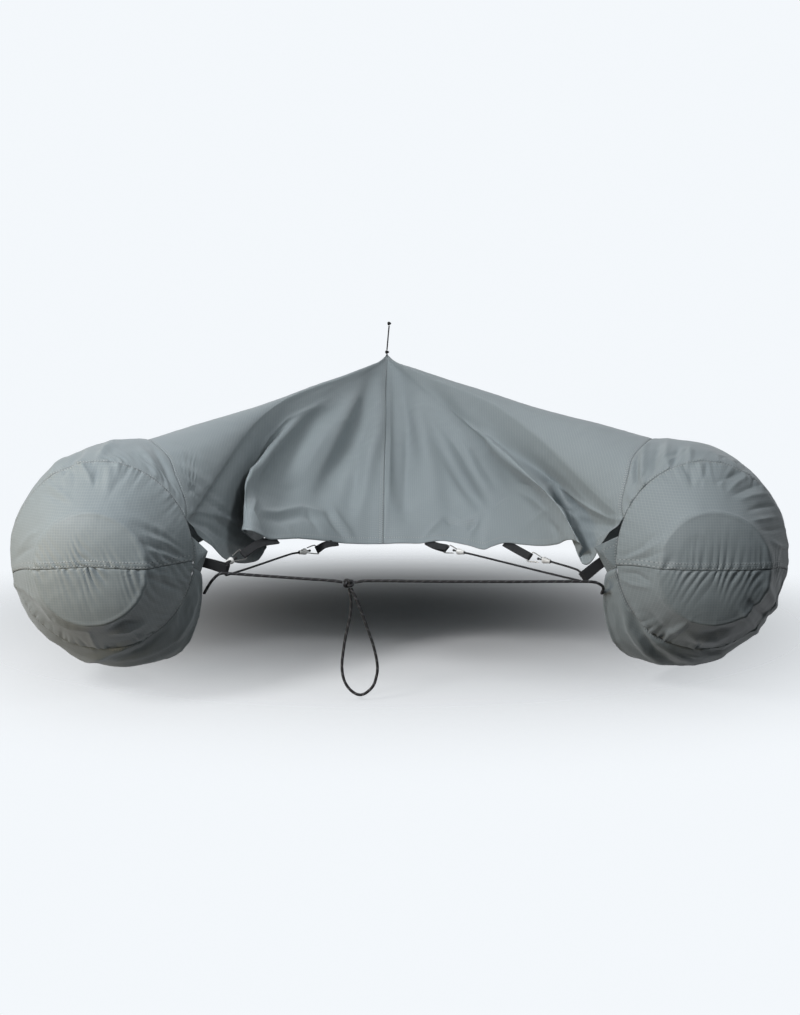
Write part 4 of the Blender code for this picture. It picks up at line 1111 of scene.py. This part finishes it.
def add_side_panel(name, side, creases, finish):
    """One side panel with its gathers, seams and drawcord hem."""
    points = panel_grid(side)
    outward = off_sleeve(side)
    share = np.linspace(0.0, 1.0, points.shape[0])[:, None]
    angle = SEAM_ANGLE + (HEM_ANGLE - SEAM_ANGLE) * share
    seam_gap = lengths_along(points, 0)
    hem_gap = lengths_along(points[::-1], 0)[::-1]
    ring_gap = run = lengths_along(points, 1)
    normal = normals_of(points, outward)
    ragged = unevenness(points, size=0.045, seed=11.0)
    upper = bell(angle + 15.0, 62.0)
    lower = bell(angle - 195.0, 60.0)
    small = gathers(seam_gap, ring_gap, ragged, period=0.019, height=0.0040, reach=0.030)
    wide = gathers(seam_gap, ring_gap, ragged, period=0.043, height=0.0035, reach=0.060)
    creased = crease_height(stern_view(points), creases, PANEL_CREASE_GAIN)
    faces_eye = np.clip(-normal[..., 1] * 4.0 + 1.0, 0.0, 1.0)
    lift = small * (0.25 + 0.75 * np.maximum(upper, lower)) + wide * (0.3 + 0.7 * upper)
    lift += creased * faces_eye * fade(ring_gap, 0.006)
    lift *= fade(seam_gap, 0.012)
    inside = fade(ring_gap, 0.02) * fade(seam_gap, 0.02)
    lift += 0.0040 * unevenness(points * (1.0, 0.6, 1.0), size=0.10, seed=13.0) * inside
    lift += 0.0010 * unevenness(points, size=0.035, seed=17.0) * inside
    lift += crumples(points, size=0.050, seed=19.0) * inside
    lift += gathers(seam_gap, ring_gap, ragged, period=0.0090, height=0.0013, reach=0.010)
    lift += gathers(run, seam_gap, ragged, period=0.017, height=0.0012, reach=0.014)
    lift += gathers(run, hem_gap, ragged, period=0.021, height=0.0022, reach=0.020)
    lift += seam_groove(ring_gap, 0.0008) + seam_groove(seam_gap, 0.0008)
    lift += 0.0022 * bell(hem_gap - 0.008, 0.007)
    lift = np.clip(lift, -0.010, 0.008)
    points = points + normal * (lift + CLOTH_OUTER)[..., None]
    uvs = {
        "weave": (run, seam_gap), "ring_seam": (seam_gap, ring_gap),
        "top_seam": (run, seam_gap), "drawcord_hem": (run, hem_gap),
    }
    return lay_cloth(name, points, outward(points), uvs, finish, name)


def add_flap(name, side, finish):
    """The corner of a side panel between the ring seam, the drawcord hem and its free edge."""
    edge = [
        sleeve_point(side, CAP_STATION, FLAP_ANGLE), sleeve_point(side, CAP_STATION, 270.0),
        sleeve_point(side, CAP_STATION, HEM_ANGLE), panel_point(side, panel_rows()[1], 1.0),
    ]
    tip = np.array(FLAP_TIPS[side])
    line = np.array([a.lerp(b, k / 12) for a, b in zip(edge, edge[1:]) for k in range(12)] + [edge[-1]])
    shares = np.linspace(0.0, 0.995, 25)[None, :, None]
    points = line[:, None] * (1.0 - shares) + tip * shares
    facing = np.broadcast_to((-side, -0.3, 0.0), points.shape)
    normal = normals_of(points, lambda p: facing)
    run = lengths_along(points, 0)
    depth = lengths_along(points, 1)
    belly = np.sin(np.pi * shares[..., 0]) * np.sin(np.pi * np.linspace(0.0, 1.0, len(line)))[:, None]
    lift = belly * (0.0012 * unevenness(points, size=0.02, seed=23.0) + 0.0008)
    points = points + normal * (lift + CLOTH_OUTER)[..., None]
    free = np.minimum(run, lengths_along(points[::-1], 0)[::-1])
    uvs = {
        "weave": (points[..., 2], points[..., 1]), "ring_seam": (run, depth),
        "top_seam": (depth, free + 0.5), "drawcord_hem": (depth, free),
    }
    return lay_cloth(name, points, facing, uvs, finish, name.replace("flap", "side_panel"))


panel_cloth = ripstop("side_panel_cloth", {
    "ring_seam": (0.0035,), "top_seam": (0.0035,), "drawcord_hem": (0.0150,),
})
side_panels = (
    add_side_panel("side_panel_port", -1, PORT_CREASES, panel_cloth),
    add_side_panel("side_panel_starboard", 1, STARBOARD_CREASES, panel_cloth),
)
flaps = (add_flap("flap_port", -1, panel_cloth), add_flap("flap_starboard", 1, panel_cloth))

# ---- Boot caps
# The closed ends of the sleeves: an upper and a lower piece with a puckered felled seam
# between them, stretched over a cone, whose flat end shows through as a round edge.

CAP_COLUMNS = 170
SEAM_ALLOWANCE = 0.007
DISC_ROWS = 34
CONE_ROWS = 46
DISC_CROWN = 0.019
# How far the felled seam runs below or above the cap's middle: degrees at the ring seam on
# the outboard and the inner side, and metres at the disc's middle
SEAM_RUN = {-1: (10.5, 3.5, 0.008), 1: (8.5, 6.0, 0.0)}
# Puckers by side and by whether they are above the felled seam: reach, height and lean
PUCKERS = {
    (-1, True): (0.026, 0.0042, 0.6), (-1, False): (0.030, 0.0050, -0.35),
    (1, True): (0.022, 0.0036, -0.15), (1, False): (0.022, 0.0044, 0.5),
}
PUCKER_PERIOD = 0.0145
# Puckers die out toward the ring seam, this far from the cap's middle
PUCKER_SPAN = 0.185
CAP_CREASE_GAIN = 1.2
# The round edge: how far outboard its middle lies, and its radius
EDGE_SHIFT = 0.009
EDGE_RADIUS = 0.107
# The felled seam's two layers stand out as a band above it
FELL_BAND = 0.0135


def cap_angle(side, upper, share, cone):
    """Angle at a share of the way round a cap, for a share of the way down the cone."""
    outboard, inner, _ = SEAM_RUN[side]
    ends = (-90.0 - inner * cone, 90.0 + outboard * cone)
    if not upper:
        ends = (ends[1], ends[0] + 360.0)
    return ends[0] + (ends[1] - ends[0]) * share


def cap_grid(side, upper):
    """Points of a cap: columns round it, rows from its middle out."""
    columns = []
    centre = 0.5 * (sleeve_point(side, 0.0, -90.0) + sleeve_point(side, 0.0, 90.0))
    centre.z += SEAM_RUN[side][2]
    for i in range(CAP_COLUMNS + 1):
        rim = sleeve_point(side, 0.0, cap_angle(side, upper, i / CAP_COLUMNS, 0.0))
        column = []
        for j in range(DISC_ROWS):
            share = j / DISC_ROWS
            point = centre.lerp(rim, share)
            point.y -= DISC_CROWN * (1.0 - share ** 2.4)
            column.append(point)
        for j in range(CONE_ROWS + 1):
            angle = cap_angle(side, upper, i / CAP_COLUMNS, j / CONE_ROWS)
            column.append(sleeve_point(side, CAP_STATION * j / CONE_ROWS, angle))
        columns.append(column)
    return np.array(columns)


def sternward(points):
    """The outer side of a boot's cap."""
    return np.broadcast_to((0.0, -1.0, 0.0), points.shape)


def add_cap(name, side, upper, creases, finish):
    """One cap with its puckers along the felled seam, the round edge and the ring seam."""
    points = cap_grid(side, upper)
    angle = cap_angle(side, upper, np.linspace(0.0, 1.0, CAP_COLUMNS + 1), 1.0)[:, None]
    middle = sleeve_point(side, 0.0, 90.0).z
    across = points[..., 0] - side * SLEEVE_HALF_SPAN
    seam = points[(0, -1), :].reshape(-1, 3)
    seam = seam[np.argsort(seam[:, 0])]
    gap = np.abs(points[..., 2] - np.interp(points[..., 0], seam[:, 0], seam[:, 2]))
    ring_gap = lengths_along(points[:, ::-1], 1)[:, ::-1]
    ring_run = np.broadcast_to(lengths_along(points, 0)[:, -1:], gap.shape)
    from_edge = np.abs(np.hypot(across - side * EDGE_SHIFT, points[..., 2] - middle) - EDGE_RADIUS)
    normal = normals_of(points, sternward)
    ragged = unevenness(points * (1.0, 0.2, 0.35), size=0.040, seed=31.0 if upper else 37.0)
    reach, height, lean = PUCKERS[side, upper]
    lift = gathers(across + lean * gap, gap, ragged, period=PUCKER_PERIOD, height=height, reach=reach)
    lift *= np.exp(-((across / PUCKER_SPAN) ** 4)) * np.clip(0.15 + from_edge / 0.008, 0.0, 1.0)
    top = bell(angle + 5.0, 50.0) + bell(angle - 195.0, 55.0)
    small = gathers(ring_run, ring_gap, ragged, period=0.016, height=0.0030, reach=0.022)
    wide = gathers(ring_run, ring_gap, ragged, period=0.047, height=0.0034, reach=0.050)
    lift += small * np.clip(top + 0.2, 0.0, 1.0) + wide * np.clip(top, 0.0, 1.0)
    inside = fade(ring_gap, 0.01) * fade(gap, 0.008)
    lift += crease_height(stern_view(points), creases, CAP_CREASE_GAIN) * inside
    lift += 0.0013 * bell(from_edge, 0.0028) * fade(gap, 0.01)
    on_cone = points[..., 1] > 0.004
    lift += 0.0026 * unevenness(points * (1.0, 0.6, 1.0), size=0.075, seed=41.0) * inside * on_cone
    lift += 0.0006 * unevenness(points, size=0.025, seed=43.0) * inside
    lift += 0.35 * crumples(points, size=0.050, seed=47.0) * inside
    lift += gathers(ring_run, ring_gap, ragged, period=0.0090, height=0.0013, reach=0.010)
    lift -= (0.00027 if upper else 0.0009) * np.exp(-gap / 0.0022)
    lift += seam_groove(ring_gap, 0.0008) + 0.0006 * (gap < FELL_BAND) * upper
    lift = np.clip(lift, -0.008, 0.007)
    points = points + normal * (lift + CLOTH_OUTER)[..., None]
    uvs = {
        "weave": (points[..., 0], points[..., 2]), "felled_seam": (points[..., 0], gap),
        "ring_seam": (ring_run, ring_gap),
    }
    # The cap's edge is turned in behind the ring seam
    turned = points[:, -1] + SEAM_ALLOWANCE * np.array((0.0, 0.4, 0.0))
    axis = np.array((side * (SLEEVE_HALF_SPAN + 0.02), 0.0, 0.01))
    inward = (axis - turned) * (1.0, 0.0, 1.0)
    turned += SEAM_ALLOWANCE * inward / np.linalg.norm(inward, axis=-1, keepdims=True)
    points = np.concatenate((points, turned[:, None]), axis=1)
    for label, pair in uvs.items():
        uvs[label] = tuple(np.concatenate((part, part[:, -1:]), axis=1) for part in pair)
    return lay_cloth(name, points, sternward(points), uvs, finish, name)


upper_cap_cloth = ripstop("upper_cap_cloth", {"felled_seam": (0.0035, 0.0115), "ring_seam": (0.0035,)})
lower_cap_cloth = ripstop("lower_cap_cloth", {"felled_seam": (), "ring_seam": (0.0035,)})
caps = (
    add_cap("cap_upper_port", -1, True, PORT_CREASES, upper_cap_cloth),
    add_cap("cap_lower_port", -1, False, PORT_CREASES, lower_cap_cloth),
    add_cap("cap_upper_starboard", 1, True, STARBOARD_CREASES, upper_cap_cloth),
    add_cap("cap_lower_starboard", 1, False, STARBOARD_CREASES, lower_cap_cloth),
)

# ---- Webbing tabs
# Short straps of black woven webbing, sewn behind the hem and the boots' flaps and turned
# back on themselves round a hook's wire or the elastic cord.

webbing = Finish("black_webbing", (0.020, 0.021, 0.023), 0.72)
across_web, along_web = webbing.uv("strap")
twill = (across_web / 0.0011 + along_web / 0.0016).share(1.0).peak(0.5, 0.5)
rib = (along_web / 0.0016).share(1.0).peak(0.5, 0.5)
selvedge = across_web.peak(0.0, 0.0009) + across_web.peak(0.019, 0.0009)
webbing.set("Base Color", webbing.blend(
    twill * 0.7, (0.014, 0.015, 0.017, 1.0), (0.034, 0.036, 0.039, 1.0),
))
webbing.bump(twill * 0.6 + rib * 0.4 + selvedge, 0.0005, 0.8)

# The room that a strap takes, its thickness, and the steps across it and between its points
WEB_ROOM = 0.0015
WEB_THICKNESS = 0.0014
WEB_ACROSS = 8
WEB_STEPS = 4
TAB_ROOT = 0.010
TAB_TURN_STEPS = 8
HEM_TAB_GAP = 0.00105
FLAP_TAB_GAP = 0.0004
LAYER_GAP = 0.0005
# How far down a spoke, in its spans, the cloth above a tab is taken
SPOKE_ABOVE = 3.85
WIRE_RADIUS = 0.00125
TOUCH = 0.0005

# name, side, spoke (None for the boot's flap), share of the way to the next spoke,
# half widths at the root and the tip, radius of the turn, centre of the turn
TABS = (
    ("port_outer", -1, 5, 0.55, 0.0095, 0.0085, 0.0045, (-0.328, 0.235, 0.005)),
    ("port_inner", -1, 2, 0.36, 0.0075, 0.0078, 0.0045, (-0.190, 0.480, -0.014)),
    ("starboard_inner", 1, 2, 0.50, 0.0095, 0.0085, 0.0045, (0.107, 0.510, -0.016)),
    ("starboard_outer", 1, 8, 0.10, 0.0095, 0.0085, 0.0045, (0.290, 0.400, -0.021)),
    ("port_side", -1, None, 0.55, 0.0105, 0.0095, 0.0065, (-0.356, 0.165, -0.017)),
    ("starboard_side", 1, None, 0.60, 0.0110, 0.0095, 0.0065, (0.375, 0.155, -0.031)),
)


def tab_patch(side, spoke):
    """The ends of the stretch of edge that a tab is sewn to, and the points above them."""
    if spoke is None:
        above = sleeve_point(side, CAP_STATION, HEM_ANGLE)
        return Vector(FLAP_TIPS[side]), panel_point(side, panel_rows()[1], 1.0), above, above
    near, far = spoke_controls(side)[spoke:spoke + 2]
    return near[-1], far[-1], smooth_curve(near, SPOKE_ABOVE), smooth_curve(far, SPOKE_ABOVE)


def tab_profile(gap, reach, depth, turn, clear):
    """Middle line of a strap, as (down, inward): root, clear of the edge, round, back."""
    front = gap + 0.5 * WEB_ROOM
    back = front + WEB_ROOM + LAYER_GAP
    slope = math.atan2(depth - front, reach - clear)
    points = [(-TAB_ROOT, front), (clear, front)]
    for i in range(TAB_TURN_STEPS + 1):
        angle = slope - math.pi / 2.0 + math.pi * i / TAB_TURN_STEPS
        points.append((reach + turn * math.cos(angle), depth + turn * math.sin(angle)))
    return points + [(clear + WEB_ROOM, back), (-0.9 * TAB_ROOT, back)]


def tab_layout(side, spoke, share, root, end, turn, tip):
    """The two edges of a tab's strap, the middle of a wire in its turn, and its direction across."""
    near, far, near_above, far_above = tab_patch(side, spoke)
    edge, along = near.lerp(far, share), far - near
    up = near_above.lerp(far_above, share) - edge
    rise = up - along * (up.dot(along) / along.length_squared)
    inward = along.cross(up).normalized()
    if inward.dot(Vector((0.0 if spoke is not None else side, 1.0, 0.0))) < 0.0:
        inward.negate()
    reach_out = Vector(tip) - edge
    depth = reach_out.dot(inward)
    down = (reach_out - depth * inward).normalized()
    across = down.cross(inward)
    reach = reach_out.dot(down)
    clear = WEB_ROOM + root * abs(across.dot(rise) / down.dot(rise))
    gap = FLAP_TAB_GAP if spoke is None else HEM_TAB_GAP
    edges = ([], [])
    for ahead, behind in tab_profile(gap, reach, depth, turn, clear):
        width = root + (end - root) * min(1.0, max(0.0, ahead / reach))
        for points, hand in zip(edges, (-width, width)):
            # The cloth's twist brings the strap inward of its own plane
            flat = down * ahead + across * hand
            level = max(0.0, flat.dot(rise) / rise.length_squared)
            beside = share + (flat - level * up).dot(along) / along.length_squared
            cloth = near.lerp(far, beside).lerp(near_above.lerp(far_above, beside), level)
            points.append(edge + flat + inward * (behind + (cloth - edge).dot(inward)) + Vector(TO_PART))
    seat = turn - 0.5 * WEB_ROOM - WIRE_RADIUS - TOUCH
    return edges, Vector(tip) + reach_out.normalized() * seat, across


def add_strap(name, left, right):
    """A strap between its two edges, with a soft crown across it and its thickness."""
    rows = WEB_STEPS * (len(left) - 1)
    piece = bmesh.new()
    verts = bmesh.ops.create_grid(piece, x_segments=WEB_ACROSS, y_segments=rows, size=1.0)["verts"]
    piece.verts.index_update()
    layer = piece.loops.layers.uv.new("strap")
    edges = [[smooth_curve(side, k / WEB_STEPS) for k in range(rows + 1)] for side in (left, right)]
    run = [0.0]
    for a, b in zip(edges[0], edges[0][1:]):
        run.append(run[-1] + (b - a).length)
    places = {}
    for vert in verts:
        share = (vert.co.x + 1.0) / 2.0
        j = round((vert.co.y + 1.0) / 2.0 * rows)
        places[vert.index] = (share, run[j])
        wave = 0.0005 * math.sin(run[j] / 0.011 + 2.0 * share) * math.sin(math.pi * share)
        vert.co = edges[0][j].lerp(edges[1][j], share) + Vector((0.0, 0.0, wave))
    width = (edges[1][0] - edges[0][0]).length
    for face in piece.faces:
        for loop in face.loops:
            share, along = places[loop.vert.index]
            loop[layer].uv = (share * width, along)
    piece.normal_update()
    for vert, normal in [(vert, vert.normal.copy()) for vert in piece.verts]:
        vert.co -= normal * (0.5 * WEB_THICKNESS)
    bmesh.ops.solidify(piece, geom=piece.faces[:], thickness=-WEB_THICKNESS)
    strap = make_object(name, piece, webbing, 50.0)
    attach(strap, "root")
    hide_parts(name)


hook_seats = {}
for place, side, spoke, share, root, end, turn, tip in TABS:
    edges, seat, across = tab_layout(side, spoke, share, root, end, turn, tip)
    add_strap("tab_" + place, *edges)
    hook_seats[place] = (seat, across, end)

# ---- Hooks
# White moulded cones clamp the ends of the elastic cord; a bent stainless wire leaves the
# wide end of each, goes through a tab and comes back; the cord's own end stands out beside it.

plastic = Finish("white_plastic", (0.80, 0.80, 0.78), 0.38)
plastic.bump(plastic.spots(900.0), 0.0003, 0.3)
steel = Finish("steel_wire", (0.62, 0.61, 0.58), 0.24, 1.0)
steel.set("Roughness", steel.spots(1200.0) * 0.16 + 0.18)

# From the wire's crossbar to the cone's wide end
HOOK_REACH = 0.036
WIRE_SPARE = 0.0035
WIRE_OFFSET = 0.0042
WIRE_BEND = 0.0030
WIRE_ROOT = 0.0015
# The wire's free end, short of the cone and beside its middle
WIRE_END = (0.0080, 0.0078)
WIRE_STEP = 0.0012
WIRE_SIDES = 12
# Distances along the cone and the cord's end, and radii, in millimetres
CONE_PROFILE = (
    (0.0, 4.5), (0.2, 6.2), (0.6, 7.1), (1.4, 7.5), (3.4, 7.5), (3.8, 7.2), (4.8, 7.15), (5.2, 6.9),
    (11.0, 5.8), (11.2, 5.3), (12.2, 5.2), (12.4, 5.6), (15.0, 5.1), (15.2, 4.6), (16.2, 4.5),
    (16.4, 4.9), (18.8, 4.6), (19.6, 4.2), (20.0, 3.4), (19.9, 2.4),
)
CORD_END_PROFILE = (
    (0.0, 1.9), (9.8, 1.9), (10.4, 2.1), (11.2, 2.7), (12.4, 3.0), (13.8, 2.8), (14.8, 2.1), (15.3, 1.0),
)
# A point that each hook lies toward, in the cover's own frame
HOOKS = {
    "port_outer": (-0.349, 0.205, -0.005),
    "port_inner": (-0.229, 0.440, -0.017),
    "starboard_inner": (0.148, 0.470, -0.021),
    "starboard_outer": (0.325, 0.370, -0.027),
}


def add_turned(name, base, axis, profile, finish, sides=32):
    """A piece turned round an axis by its profile."""
    piece = bmesh.new()
    points = [(0.0, profile[0][0])] + [(r, z) for z, r in profile] + [(0.0, profile[-1][0])]
    verts = [piece.verts.new((MM * r, 0.0, MM * z)) for r, z in points]
    edges = [piece.edges.new(pair) for pair in zip(verts, verts[1:])]
    bmesh.ops.spin(
        piece, geom=verts + edges, cent=(0.0, 0.0, 0.0), axis=(0.0, 0.0, 1.0),
        angle=math.tau, steps=sides, use_merge=True,
    )
    bmesh.ops.remove_doubles(piece, verts=piece.verts[:], dist=0.00001)
    turn = axis.to_track_quat("Z", "Y")
    for vert in piece.verts:
        vert.co = turn @ vert.co + base
    return make_object(name, piece, finish, 35.0)


def add_hook(name, seat, toward, across, half_width):
    """A cone, its wire through a tab's turn, and the cord's end."""
    axis = (Vector(toward) - seat).normalized()
    tip = seat + Vector(TO_PART)
    wide = tip + axis * HOOK_REACH
    aside = (across - axis * across.dot(axis)).normalized()
    reach = half_width + WIRE_SPARE
    route = [
        wide + axis * WIRE_ROOT + aside * WIRE_OFFSET,
        wide - axis * WIRE_BEND + aside * WIRE_OFFSET,
        tip + axis * WIRE_BEND + across * reach,
        tip + across * (reach - WIRE_BEND),
        tip - across * (reach - WIRE_BEND),
        tip + axis * WIRE_BEND - across * reach,
        wide - axis * WIRE_END[0] - aside * WIRE_END[1],
    ]
    wire = bmesh.new()
    add_tube(
        wire, along_curve(route, WIRE_STEP), WIRE_RADIUS, WIRE_SIDES,
        radius_at=lambda t: 1.0 if t < 0.985 else 0.75,
    )
    end = name + "_cord_end"
    pieces = (
        ("_cone", add_turned(name + "_cone", wide, axis, CONE_PROFILE, plastic), "hook_plastic"),
        ("_wire", make_object(name + "_wire", wire, steel), "hook_steel"),
        ("_cord_end", add_turned(end, wide, -axis, CORD_END_PROFILE, thin_braid), "cord_black"),
    )
    for ending, made, slot in pieces:
        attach(made, "root")
        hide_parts(name + ending)
    return [made for _, made, _ in pieces]


for side in ("port", "starboard"):
    ends = []
    for place in (side + "_outer", side + "_inner"):
        seat, across, half_width = hook_seats[place]
        ends += add_hook("hook_" + place, seat, HOOKS[place], across, half_width)
    declare_cord("shock_cord_" + side)
